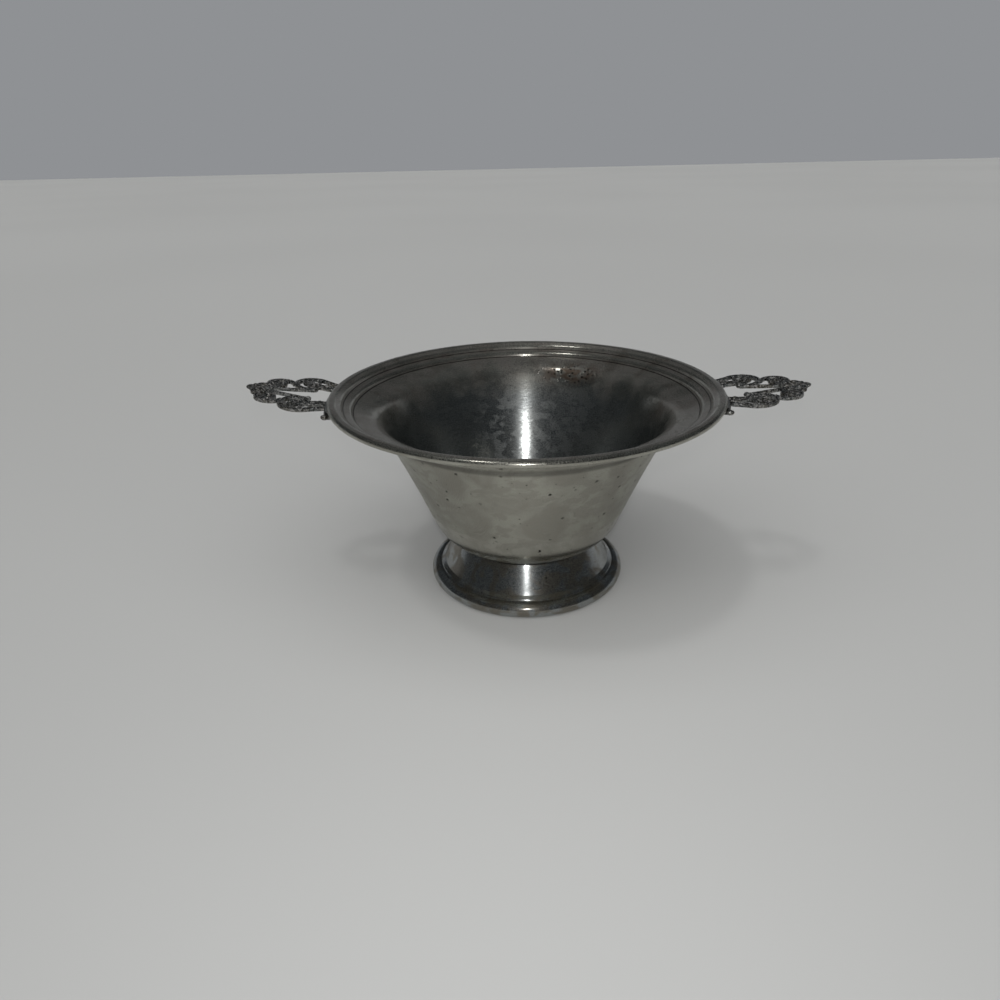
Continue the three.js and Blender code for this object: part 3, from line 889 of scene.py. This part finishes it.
def bowl_profile(s):
    """The bowl's profile in millimetres: outside from the centre to the lip, and back along the inside."""
    bottom = BOWL_LOW.z / MM
    rim = BOWL_HIGH.x / MM
    under_lip = BOWL_HIGH.z / MM - s.sheet
    slope = math.tan(s.flange_slope)
    lip_foot = np.array([rim - s.lip_width, under_lip - s.lip_rise])
    step_edge = lip_foot - [s.step_band, s.step_band * slope]
    step_foot = step_edge - [s.step_run, s.step_rise]
    band_start = step_foot - [s.inner_band, s.inner_band * slope]
    throat = band_start - [s.throat_width, s.throat_drop]
    corner = np.array([s.flat_radius + s.corner_radius * math.tan(s.wall_lean / 2), bottom])
    wall_bend = crossing(corner, s.wall_lean, throat, s.throat_lean)
    throat_bend = crossing(throat, s.throat_lean, band_start, s.flange_slope)
    lip_shoulder = np.array([lip_foot[0] + LIP_SHOULDER_WIDTH, under_lip - LIP_SHOULDER_DROP])
    lip_end = np.array([rim - s.lip_bead, under_lip])
    lip_turn = lip_end - [LIP_FLAT, 0]
    half = s.sheet / 2
    bends = [
        (corner, s.corner_radius - half),
        (wall_bend, WALL_CURVE),
        (throat_bend, s.throat_radius),
        (step_foot, s.crease),
        (step_edge, s.crease),
        (lip_foot, s.crease),
        (lip_shoulder, LIP_CURVE),
        (lip_turn, LIP_CURVE),
    ]
    underside = [np.array([0, bottom]), *[place for place, _ in bends], lip_end]
    middle = subdivided(rounded(offset(underside, half), [radius for _, radius in bends]), LONGEST_STEP)
    outside = offset(middle, -half)
    inside = offset(middle, half)
    outside = outside[outside[:, 0] < rim - 2 * s.lip_bead]
    bead_start = -math.pi - math.asin((s.lip_bead - s.sheet) / s.lip_bead)
    bead_middle = (rim - s.lip_bead, under_lip + s.sheet - s.lip_bead)
    bead = arc(bead_middle, s.lip_bead, bead_start, math.pi / 2, BEAD_STEPS)
    return np.vstack([outside, bead, inside[-2::-1]])


# Shape of the lip in millimetres, the radius of the wall's slight curve, the longest step of a drawn
# profile, and the steps around the lip's rolled edge
LIP_SHOULDER_WIDTH = 0.7
LIP_SHOULDER_DROP = 0.87
LIP_FLAT = 1.5
LIP_CURVE = 1.3
WALL_CURVE = 500
LONGEST_STEP = 2.0
BEAD_STEPS = 24


def bowl_underside(radius, s):
    """Height of the bowl's rounded underside at a radius, in millimetres."""
    run = max(radius - s.flat_radius, 0)
    return BOWL_LOW.z / MM + s.corner_radius - math.sqrt(s.corner_radius ** 2 - run ** 2)


def foot_profile(s, bowl):
    """The foot's closed profile in millimetres, down its outside, round its base and up its lining."""
    solder = (BOWL_LOW.z - RING_LOW.z) / MM
    seat_radii = np.linspace(bowl.flat_radius, s.top_radius, SEAT_STEPS + 1)
    seat_line = [(radius, bowl_underside(radius, bowl) - solder) for radius in seat_radii]
    collar = (s.collar_bore, RING_LOW.z / MM)
    cone_top = seat_line[-1]
    roll = s.base_roll / 2
    roll_centre = (FOOT_HIGH.x / MM - roll, roll)
    groove = (s.groove_radius, s.groove_height)
    outside = rounded(
        [seat_line[-2], cone_top, (s.cone_radius, s.cone_height), (s.step_radius, s.step_height), groove],
        [TOP_EDGE, CONE_EDGE, STEP_EDGE],
    )
    roll_start = math.radians(ROLL_START)
    roll_arc = arc(roll_centre, roll, roll_start, -math.pi / 2, ROLL_STEPS)
    inner_base = FOOT_HIGH.x / MM - s.base_width
    base_edge = rounded([roll_arc[-1], (inner_base, 0), (inner_base, roll)], [BASE_EDGE])
    lining = offset([collar, *seat_line, (s.cone_radius, s.cone_height)], -bowl.sheet)[::-1]
    line = [collar, *seat_line[:-2], *outside, *roll_arc[:-1], *base_edge, *lining, collar]
    return subdivided(np.array(line, float), LONGEST_STEP)


# Radii of the foot's edges in millimetres, the angle in degrees at which its rolled base starts, and the
# steps in which the roll and the seat are drawn
TOP_EDGE = 0.45
CONE_EDGE = 0.5
STEP_EDGE = 0.3
BASE_EDGE = 0.4
ROLL_START = 100
ROLL_STEPS = 26
SEAT_STEPS = 12


def solder_ring_profile(s, bowl):
    """Solder in the seam between the foot and the bowl, in millimetres, just inside the foot's top edge."""
    solder = (BOWL_LOW.z - RING_LOW.z) / MM
    radii = np.linspace(s.collar_bore + SOLDER_START, s.top_radius - SOLDER_RECESS, SEAT_STEPS + 1)
    upper = [(radius, bowl_underside(radius, bowl) - SOLDER_FILM) for radius in radii]
    lower = [(radius, height - solder + 2 * SOLDER_FILM) for radius, height in upper]
    return np.array([*lower, *upper[::-1], lower[0]])


# How far the solder stays back from the collar's bore, from the foot's edge, and from the metal on each
# side, in millimetres
SOLDER_START = 1
SOLDER_RECESS = 0.5
SOLDER_FILM = 0.02


# Ears

# Scrolls on each side of an ear in millimetres: out from the rim, to the side, and radius of the band's
# middle. An open scroll runs between two angles, in degrees from straight out.
LARGE_SCROLL = (10.2, 11.9, 6.6)
LARGE_SWEEP = (132, -105)
LARGE_EYE = (9.5, 10.3, 2.3)
SMALL_SCROLL = (22, 8, 5)
SMALL_SWEEP = (168, -72)
SMALL_EYE = (22.2, 7.6, 1.8)
TIP_RING = (27.8, 3.3, 2.2)
INWARD = -90

# Where the scroll and the bars leave the rail, and the angles at which they meet what they lead to
LARGE_SCROLL_ROOT = 12.9
INNER_BAR = (7.4, 205)
OUTER_BAR = (10.6, 143)
LONG_BAR_PULL = (14, 3.6)
LONG_BAR_END = 245
SMALL_LEG_SHARE = 0.8

# Beads: the scroll, the angle on it, how far outside its band's middle, and the bead's radius
SIDE_BEADS = [
    (LARGE_EYE, 16, 1.35, 1.3),
    (LARGE_EYE, 191, 4.7, 1.2),
    (LARGE_SCROLL, -109, 0.2, 1.2),
    (SMALL_SCROLL, -47, -0.3, 1.1),
    (TIP_RING, -25, 0.7, 1.2),
    (LARGE_EYE, 0, -2.3, 0.75),
    (SMALL_EYE, 0, -1.8, 0.6),
]
SPUR_RADIUS = 1.4
TIP_BEAD = (31.6, 1.8)

# Leaves between the scrolls: the scroll that they spring from, the angle there, and the scroll and angle
# of their tips
LEAVES = [
    (LARGE_EYE, 75, LARGE_SCROLL, 62),
    (LARGE_EYE, 112, LARGE_SCROLL, 104),
    (LARGE_EYE, 40, LARGE_SCROLL, 28),
    (SMALL_EYE, 60, SMALL_SCROLL, 50),
    (SMALL_EYE, 115, SMALL_SCROLL, 112),
    (SMALL_EYE, 5, SMALL_SCROLL, 2),
]

# Steps in which the pattern is drawn, and how much narrower a leaf is at its ends
RAIL_STEPS = 60
LEAD_STEPS = 11
LARGE_SCROLL_STEPS = 72
SMALL_SCROLL_STEPS = 60
LONG_BAR_STEPS = 40
EYE_STEPS = 36
LEAF_SWELL = 0.35

# Right half of a band's section, from its underside round to the shoulder of its chased groove: share of
# the band's half width, and height in thicknesses above its top face. The groove's floor is narrower.
BAND_HALF = [
    (0.86, -1.0), (1.0, -0.88), (1.0, -0.3), (0.93, -0.13), (0.8, -0.03), (0.62, 0.0), (0.45, -0.05),
]
GROOVE_HALF = 0.27


def on_scroll(scroll, degrees, side, beyond=0.0):
    """Point at an angle on a scroll of the ear, in millimetres out from the rim and to the side."""
    out, sideways, radius = scroll
    radians = math.radians(degrees)
    reach = radius + beyond
    return np.array([out + reach * math.cos(radians), side * (sideways + reach * math.sin(radians))])


def rail_radius(s):
    """Radius of the middle of the rail, in millimetres from the bowl's axis."""
    return BOWL_HIGH.x / MM - s.rail_overlap + s.rail_width / 2


def on_rail(sideways, side, s):
    """Point on the middle of the rail, a distance to the side."""
    return np.array([math.sqrt(rail_radius(s) ** 2 - sideways ** 2) - BOWL_HIGH.x / MM, side * sideways])


def swept_scroll(scroll, ends, side, steps):
    """Points on a scroll from one angle to another."""
    return [on_scroll(scroll, degrees, side) for degrees in np.linspace(*ends, steps + 1)]


def curved(start, pull, end, steps):
    """Points on a quadratic curve."""
    start, pull, end = (np.asarray(p, float) for p in (start, pull, end))
    shares = np.linspace(0, 1, steps + 1)
    return [start * (1 - t) ** 2 + 2 * pull * t * (1 - t) + end * t ** 2 for t in shares]


class Bands:
    """Lines of an ear's bands, with a half width at each point, and its beads as points with a radius."""

    def __init__(self):
        self.lines = []
        self.half_widths = []
        self.beads = []
        self.closed = []

    def band(self, points, width, swell=0.0, closed=False):
        """Adds a band. Swell takes that share off its width towards its ends."""
        if closed:
            self.closed.append(len(self.lines))
        share = np.linspace(-1, 1, len(points)) ** 2
        self.lines.append(points)
        self.half_widths.extend(width / 2 * (1 - swell * share))
        self.beads.extend([0.0] * len(points))

    def bead(self, point, radius):
        self.lines.append([point])
        self.half_widths.append(0.0)
        self.beads.append(radius)


def draw_ear_side(pattern, side, s):
    """Adds one side of an ear to its pattern: scrolls, bars, eyes, leaves and beads."""
    large_foot = on_scroll(LARGE_SCROLL, LARGE_SWEEP[1], side)
    tip_joint = on_scroll(TIP_RING, LONG_BAR_END, side)
    pull = (LONG_BAR_PULL[0], side * LONG_BAR_PULL[1])
    long_bar = curved(large_foot, pull, tip_joint, LONG_BAR_STEPS)
    root = on_rail(LARGE_SCROLL_ROOT, side, s)
    scroll_line = swept_scroll(LARGE_SCROLL, LARGE_SWEEP, side, LARGE_SCROLL_STEPS)
    lead = [root + (scroll_line[0] - root) * t for t in np.linspace(0, 1, LEAD_STEPS + 1)[:-1]]
    pattern.band(lead + scroll_line, s.large_band)
    pattern.band(swept_scroll(SMALL_SCROLL, SMALL_SWEEP, side, SMALL_SCROLL_STEPS), s.small_band)
    pattern.band(long_bar, s.bar_width)
    for sideways, degrees in (INNER_BAR, OUTER_BAR):
        pattern.band([on_rail(sideways, side, s), on_scroll(LARGE_EYE, degrees, side)], s.bar_width)
    leg_end = long_bar[round(SMALL_LEG_SHARE * LONG_BAR_STEPS)]
    for eye, end in ((LARGE_EYE, large_foot), (SMALL_EYE, leg_end)):
        pattern.band([on_scroll(eye, INWARD, side), end], s.bar_width)
    for scroll in (LARGE_EYE, SMALL_EYE, TIP_RING):
        pattern.band(swept_scroll(scroll, (0, 360), side, EYE_STEPS)[:-1], s.eye_band, closed=True)
    for near, near_angle, far, far_angle in LEAVES:
        start = on_scroll(near, near_angle, side)
        end = on_scroll(far, far_angle, side)
        pattern.band([start, (start + end) / 2, end], s.leaf_width, swell=LEAF_SWELL)
    for scroll, degrees, beyond, radius in SIDE_BEADS:
        pattern.bead(on_scroll(scroll, degrees, side, beyond), radius)


def ear_pattern(s):
    """The bands and beads of one ear, in millimetres out from the rim and to the side."""
    pattern = Bands()
    rim = BOWL_HIGH.x / MM
    rail = arc((-rim, 0), rail_radius(s), -s.rail_half_angle, s.rail_half_angle, RAIL_STEPS)
    pattern.band(list(rail), s.rail_width)
    for side in (1, -1):
        draw_ear_side(pattern, side, s)
        spur = (rail_radius(s) + s.rail_width / 2) * direction(side * s.rail_half_angle) - [rim, 0]
        pattern.bead(spur, SPUR_RADIUS)
    pattern.bead(np.array([TIP_BEAD[0], 0.0]), TIP_BEAD[1])
    return pattern


def band_section(s):
    """The section of a band: share of its half width, and height in millimetres above its top face."""
    right = [*BAND_HALF, (GROOVE_HALF, -s.groove)]
    left = [(-across, height) for across, height in reversed(right)]
    return [(across, height * s.thickness) for across, height in [left[-1], *right, *left[:-1]]]


def hollows(mesh):
    """How hollow a surface is at each point: 0 on sharp edges, 0.5 where it is flat, 1 in deep creases."""
    total = len(mesh.vertices)
    places = np.zeros(total * 3)
    normals = np.zeros(total * 3)
    mesh.vertices.foreach_get("co", places)
    mesh.vertex_normals.foreach_get("vector", normals)
    places = places.reshape(-1, 3)
    ends = np.zeros(len(mesh.edges) * 2, np.int64)
    mesh.edges.foreach_get("vertices", ends)
    ends = np.concatenate([ends.reshape(-1, 2), ends.reshape(-1, 2)[:, ::-1]])
    neighbours = np.bincount(ends[:, 0], minlength=total)

    def around(values):
        return np.stack([
            np.bincount(ends[:, 0], weights=values[ends[:, 1], axis], minlength=total) / neighbours
            for axis in range(values.shape[1])
        ], axis=1)

    bend = np.sum((around(places) - places) * normals.reshape(-1, 3), axis=1)[:, None]
    for _ in range(HOLLOW_ROUNDS):
        bend = (bend + around(bend)) / 2
    return np.clip(0.5 + 0.5 * bend[:, 0] / HOLLOW_DEPTH, 0, 1)


# Rise of a point's neighbours, in millimetres, at which a crease is as dark as it gets, and how often the
# rise is evened out between neighbours
HOLLOW_DEPTH = 0.02
HOLLOW_ROUNDS = 3


def give_section(piece, outline, values):
    """Sweeps an outline along a piece's lines, and gives the outline's object, to be removed afterwards."""
    section = wire(f"{piece.name}_section", [outline], closed=(0,))
    tree = bpy.data.node_groups.get("Cast Bands And Beads") or casting_tree()
    give_tree(piece, tree, {"Section": section, **values})
    return section


def cast_ear(s, material):
    """One ear as a fused mesh in millimetres, flat, with its top face at height 0."""
    pattern = ear_pattern(s)
    piece = wire("ear", pattern.lines, {"half_width": pattern.half_widths, "bead": pattern.beads},
                 closed=pattern.closed)
    height = s.thickness + s.bead_rise
    section = give_section(piece, band_section(s), {
        "Bead Half Height": height / 2,
        "Bead Middle": s.bead_rise - height / 2,
        "Material": material,
    })
    fuse = piece.modifiers.new("Fuse", "REMESH")
    fuse.mode = "VOXEL"
    fuse.voxel_size = s.grain
    fuse.use_smooth_shade = True
    soften = piece.modifiers.new("Soften", "SMOOTH")
    soften.factor = SOFTENING
    soften.iterations = SOFTENING_ROUNDS
    settled(piece)
    bpy.data.objects.remove(section)
    piece.data.materials.clear()
    piece.data.materials.append(material)
    layer = piece.data.attributes.new("hollow", "FLOAT", "POINT")
    layer.data.foreach_set("value", hollows(piece.data).astype(np.float32))
    return piece


# How strongly and how often the fused casting is softened
SOFTENING = 0.5
SOFTENING_ROUNDS = 2


def seat(out, turned, s):
    """Brings millimetres to metres at the ears' height, out from the axis, and on the left if turned."""
    half_turn = Matrix.Rotation(math.pi if turned else 0, 4, "Z")
    height = EAR_SOLDER_LOW.z - s.seat_gap * MM
    return half_turn @ Matrix.Translation((out, 0, height)) @ Matrix.Scale(MM, 4)


# Section of the solder under the lip: share of the half width, and height in millimetres above the ear
EAR_SOLDER_SECTION = [
    (-1, -0.1), (1, 0.02), (0.97, 0.13), (0.6, 0.32), (0.3, 0.66), (0.12, 1.14), (-1, 1.14),
]

# Radii in millimetres between which the solder lies, the steps in which it is drawn, and its uneven
# width: the shares that its waves and its thin ends take, how close the waves are, and how late the ends
# thin out
EAR_SOLDER_INNER = 73.4
EAR_SOLDER_OUTER = 75.95
EAR_SOLDER_STEPS = 90
EAR_SOLDER_WAVE = 0.12
EAR_SOLDER_WAVE_PITCH = 17
EAR_SOLDER_THINNING = 0.5
EAR_SOLDER_THINNING_POWER = 8


def ear_solder(name, turned, s, material):
    """The run of solder from the lip's underside to an ear, thinning out at both ends."""
    middle = (EAR_SOLDER_INNER + EAR_SOLDER_OUTER) / 2
    half_width = (EAR_SOLDER_OUTER - EAR_SOLDER_INNER) / 2
    line = arc((0, 0), middle, -s.solder_half_angle, s.solder_half_angle, EAR_SOLDER_STEPS)
    share = np.linspace(-1, 1, len(line))
    waves = EAR_SOLDER_WAVE * np.sin(share * EAR_SOLDER_WAVE_PITCH) ** 2
    thinning = EAR_SOLDER_THINNING * share ** EAR_SOLDER_THINNING_POWER
    half_widths = half_width * (1 - waves - thinning)
    piece = wire(name, [list(line)], {"half_width": half_widths, "bead": [0.0] * len(line)})
    section = give_section(piece, EAR_SOLDER_SECTION, {"Material": material})
    settled(piece)
    bpy.data.objects.remove(section)
    piece.data.transform(seat(0, turned, s))
    return piece


# Operators

class PORRINGER_OT_bowl(bpy.types.Operator):
    """Spin the bowl, with its rounded bottom, throat, stepped flange and lip"""
    bl_idname = "porringer.bowl"
    bl_label = "Bowl"

    def execute(self, context):
        s = millimetres(context.scene.porringer_bowl)
        material = spun_pewter(context.scene.porringer_finish)
        piece = spun("spun_bowl", bowl_profile(s), s.turning_steps, s.waviness, material)
        handed_over(piece, ["bowl"])
        return {"FINISHED"}


class PORRINGER_OT_foot(bpy.types.Operator):
    """Spin the foot, with its cone, double step and rolled base, and the solder in its seam"""
    bl_idname = "porringer.foot"
    bl_label = "Foot"

    def execute(self, context):
        bowl = millimetres(context.scene.porringer_bowl)
        s = millimetres(context.scene.porringer_foot)
        material = foot_pewter(context.scene.porringer_finish)
        piece = spun("spun_foot", foot_profile(s, bowl), s.turning_steps, s.waviness, material)
        handed_over(piece, ["foot"])
        solder = soft_solder(context.scene.porringer_finish)
        seam = spun("foot_seam_solder", solder_ring_profile(s, bowl), s.turning_steps, 0.0, solder)
        handed_over(seam, ["foot_solder_ring"])
        return {"FINISHED"}


class PORRINGER_OT_ears(bpy.types.Operator):
    """Cast both openwork ears and solder them under the lip"""
    bl_idname = "porringer.ears"
    bl_label = "Ears"

    def execute(self, context):
        s = millimetres(context.scene.porringer_ear)
        material = cast_pewter(context.scene.porringer_finish)
        solder = soft_solder(context.scene.porringer_finish)
        left = cast_ear(s, material)
        left.name = "cast_ear_left"
        right = left.copy()
        right.data = left.data.copy()
        right.name = "cast_ear_right"
        context.scene.collection.objects.link(right)
        for piece, node, tilt, turned in (
            (left, "handle_left", s.tilt_left, True),
            (right, "handle_right", s.tilt_right, False),
        ):
            piece.data.transform(seat(BOWL_HIGH.x, turned, s) @ Matrix.Rotation(-tilt, 4, "Y"))
            handed_over(piece, [node])
        for side, turned in (("left", True), ("right", False)):
            run = ear_solder(f"ear_solder_{side}", turned, s, solder)
            handed_over(run, [f"handle_solder_{side}"])
        return {"FINISHED"}


class PORRINGER_OT_studio(bpy.types.Operator):
    """Set the pale floor, the walls, the soft lights, the small light over the camera, and the camera"""
    bl_idname = "porringer.studio"
    bl_label = "Studio"

    def execute(self, context):
        s = context.scene.porringer_studio
        lay_floor(s)
        light_world(s)
        hang_lights(s)
        context.scene.camera = place_camera(s)
        context.scene.view_settings.view_transform = "Standard"
        return {"FINISHED"}


# Studio

# Half of the floor's width in metres, and its clouds and their shade
FLOOR_HALF = 6.0
FLOOR_CLOUDS = dict(grain_mm=900, low=0.3, high=0.7, detail=1.0)
FLOOR_SHADE = 0.97

# The way that each light travels, how wide a sun is as seen from the object, and the small front light's
# size and height over the camera in metres
KEY_TRAVEL = (0.28, 0.18, -1.0)
KEY_SPREAD = math.radians(7)
FILL_TRAVEL = (0.12, 1.1, -0.9)
BOUNCE_TRAVEL = (-0.2, -1.0, -0.8)
FILL_SPREAD = math.radians(130)
FRONT_SIZE = 0.012
FRONT_LIFT = 0.015


def lay_floor(s):
    """A wide floor of matt paint, rolled on: pale, without shine, and hardly cloudy."""
    material, tree, shader = new_material("Matt Floor Paint")
    cloud = patches(tree, **FLOOR_CLOUDS)
    fill(tree, shader, {
        "Base Color": blended(tree, s.floor, tuple(FLOOR_SHADE * c for c in s.floor), cloud),
        "Roughness": 0.8,
        "Specular IOR Level": 0.1,
    })
    corners = [(x * FLOOR_HALF, y * FLOOR_HALF, 0) for x, y in ((-1, -1), (1, -1), (1, 1), (-1, 1))]
    mesh = bpy.data.meshes.new("floor")
    mesh.from_pydata(corners, [], [(0, 1, 2, 3)])
    mesh.materials.append(material)
    floor = bpy.data.objects.new("floor", mesh)
    bpy.context.scene.collection.objects.link(floor)


def light_world(s):
    """A dim studio with a lighter ceiling, and a pale wall, high behind the object and low all round."""
    world = bpy.data.worlds.new("Studio")
    world.use_nodes = True
    tree = world.node_tree
    tree.nodes.clear()
    look = add(tree, "ShaderNodeTexCoord").outputs["Generated"]
    parts = add(tree, "ShaderNodeSeparateXYZ", {0: look})
    height = parts.outputs["Z"]
    ceiling = spread(tree, height, CEILING_START, CEILING_FULL)
    behind = add(tree, "ShaderNodeMath", {0: parts.outputs["Y"], 1: 0.0}, operation="MAXIMUM")
    allowed = product(tree, behind, WALL_RISE)
    above = add(tree, "ShaderNodeMath", {0: height, 1: allowed}, operation="SUBTRACT")
    wall = spread(tree, above, WALL_END, WALL_TOP)
    shade = blended(tree, blended(tree, s.dim, s.ceiling, ceiling), s.horizon, wall)
    background = add(tree, "ShaderNodeBackground", {"Color": shade, "Strength": 1.0})
    add(tree, "ShaderNodeOutputWorld", {"Surface": background})
    bpy.context.scene.world = world


# Sines of the elevations where the ceiling begins and is full, and where the pale wall is full and ends
# at the sides, and how much higher it rises behind the object
CEILING_START = 0.35
CEILING_FULL = 0.85
WALL_TOP = 0.0
WALL_END = 0.05
WALL_RISE = 0.3


def hang_lights(s):
    """A small sun that glints in the metal, two wide ones that don't show in it, and the front light."""
    key = hung_light("key_light", "SUN", KEY_TRAVEL)
    key.data.energy = s.key_strength
    key.data.angle = KEY_SPREAD
    for name, travel, strength in (
        ("fill_light", FILL_TRAVEL, s.fill_strength), ("bounced_light", BOUNCE_TRAVEL, s.bounce_strength),
    ):
        soft = hung_light(name, "SUN", travel)
        soft.data.energy = strength
        soft.data.angle = FILL_SPREAD
        soft.visible_glossy = False
    spot, _ = camera_place(s)
    place = spot + Vector((0, 0, FRONT_LIFT))
    front = hung_light("front_light", "AREA", Vector((0, 0, s.aim_height)) - place)
    front.location = place
    front.data.shape = "DISK"
    front.data.size = FRONT_SIZE
    front.data.energy = s.front_power


def hung_light(name, kind, travel):
    """A light of a kind that shines in a direction."""
    light = bpy.data.objects.new(name, bpy.data.lights.new(name, kind))
    light.rotation_mode = "QUATERNION"
    light.rotation_quaternion = Vector(travel).to_track_quat("-Z", "Y")
    bpy.context.scene.collection.objects.link(light)
    return light


def camera_place(s):
    """The camera's place, and its right, up and backward directions."""
    cos, sin = math.cos(s.elevation), math.sin(s.elevation)
    spot = Vector((0, -s.distance * cos, s.aim_height + s.distance * sin))
    right, up, ahead = Vector((1, 0, 0)), Vector((0, sin, cos)), Vector((0, cos, -sin))
    turn = Matrix.Rotation(s.turn, 3, up)
    right, ahead = turn @ right, turn @ ahead
    nod = Matrix.Rotation(-s.nod, 3, right)
    up, ahead = nod @ up, nod @ ahead
    roll = Matrix.Rotation(s.roll, 3, ahead)
    right, up = roll @ right, roll @ up
    return spot, Matrix((right, up, -ahead)).transposed()


def place_camera(s):
    """The camera, on a sensor as wide as small-format film, with nothing clipped that stands near it."""
    data = bpy.data.cameras.new("camera")
    data.sensor_width = SENSOR_WIDTH
    data.lens = data.sensor_width * s.focal_share
    data.clip_start = CLIP_START
    camera = bpy.data.objects.new("camera", data)
    spot, turn = camera_place(s)
    camera.matrix_world = Matrix.Translation(spot) @ turn.to_4x4()
    bpy.context.scene.collection.objects.link(camera)
    return camera


# Width of the sensor in millimetres, and the nearest that the camera sees in metres
SENSOR_WIDTH = 36
CLIP_START = 0.01


# Panel and registration

class VIEW3D_PT_porringer(bpy.types.Panel):
    """Buttons for each piece of the porringer and for its studio"""
    bl_label = "Porringer"
    bl_idname = "VIEW3D_PT_porringer"
    bl_space_type = "VIEW_3D"
    bl_region_type = "UI"
    bl_category = "Porringer"

    def draw(self, context):
        for operator in OPERATORS:
            self.layout.operator(operator.bl_idname)


OPERATORS = (PORRINGER_OT_bowl, PORRINGER_OT_foot, PORRINGER_OT_ears, PORRINGER_OT_studio)
SETTINGS = {
    "porringer_bowl": PorringerBowlSettings,
    "porringer_foot": PorringerFootSettings,
    "porringer_ear": PorringerEarSettings,
    "porringer_finish": PorringerFinishSettings,
    "porringer_studio": PorringerStudioSettings,
}


def register():
    for name, group in SETTINGS.items():
        bpy.utils.register_class(group)
        setattr(bpy.types.Scene, name, bpy.props.PointerProperty(type=group))
    for cls in (*OPERATORS, VIEW3D_PT_porringer):
        bpy.utils.register_class(cls)


def unregister():
    for cls in (VIEW3D_PT_porringer, *reversed(OPERATORS)):
        bpy.utils.unregister_class(cls)
    for name, group in SETTINGS.items():
        delattr(bpy.types.Scene, name)
        bpy.utils.unregister_class(group)


def main():
    register()
    bpy.ops.porringer.studio()
    bpy.ops.porringer.bowl()
    bpy.ops.porringer.foot()
    bpy.ops.porringer.ears()
    bpy.context.view_layer.update()


if __name__ == "__main__":
    main()
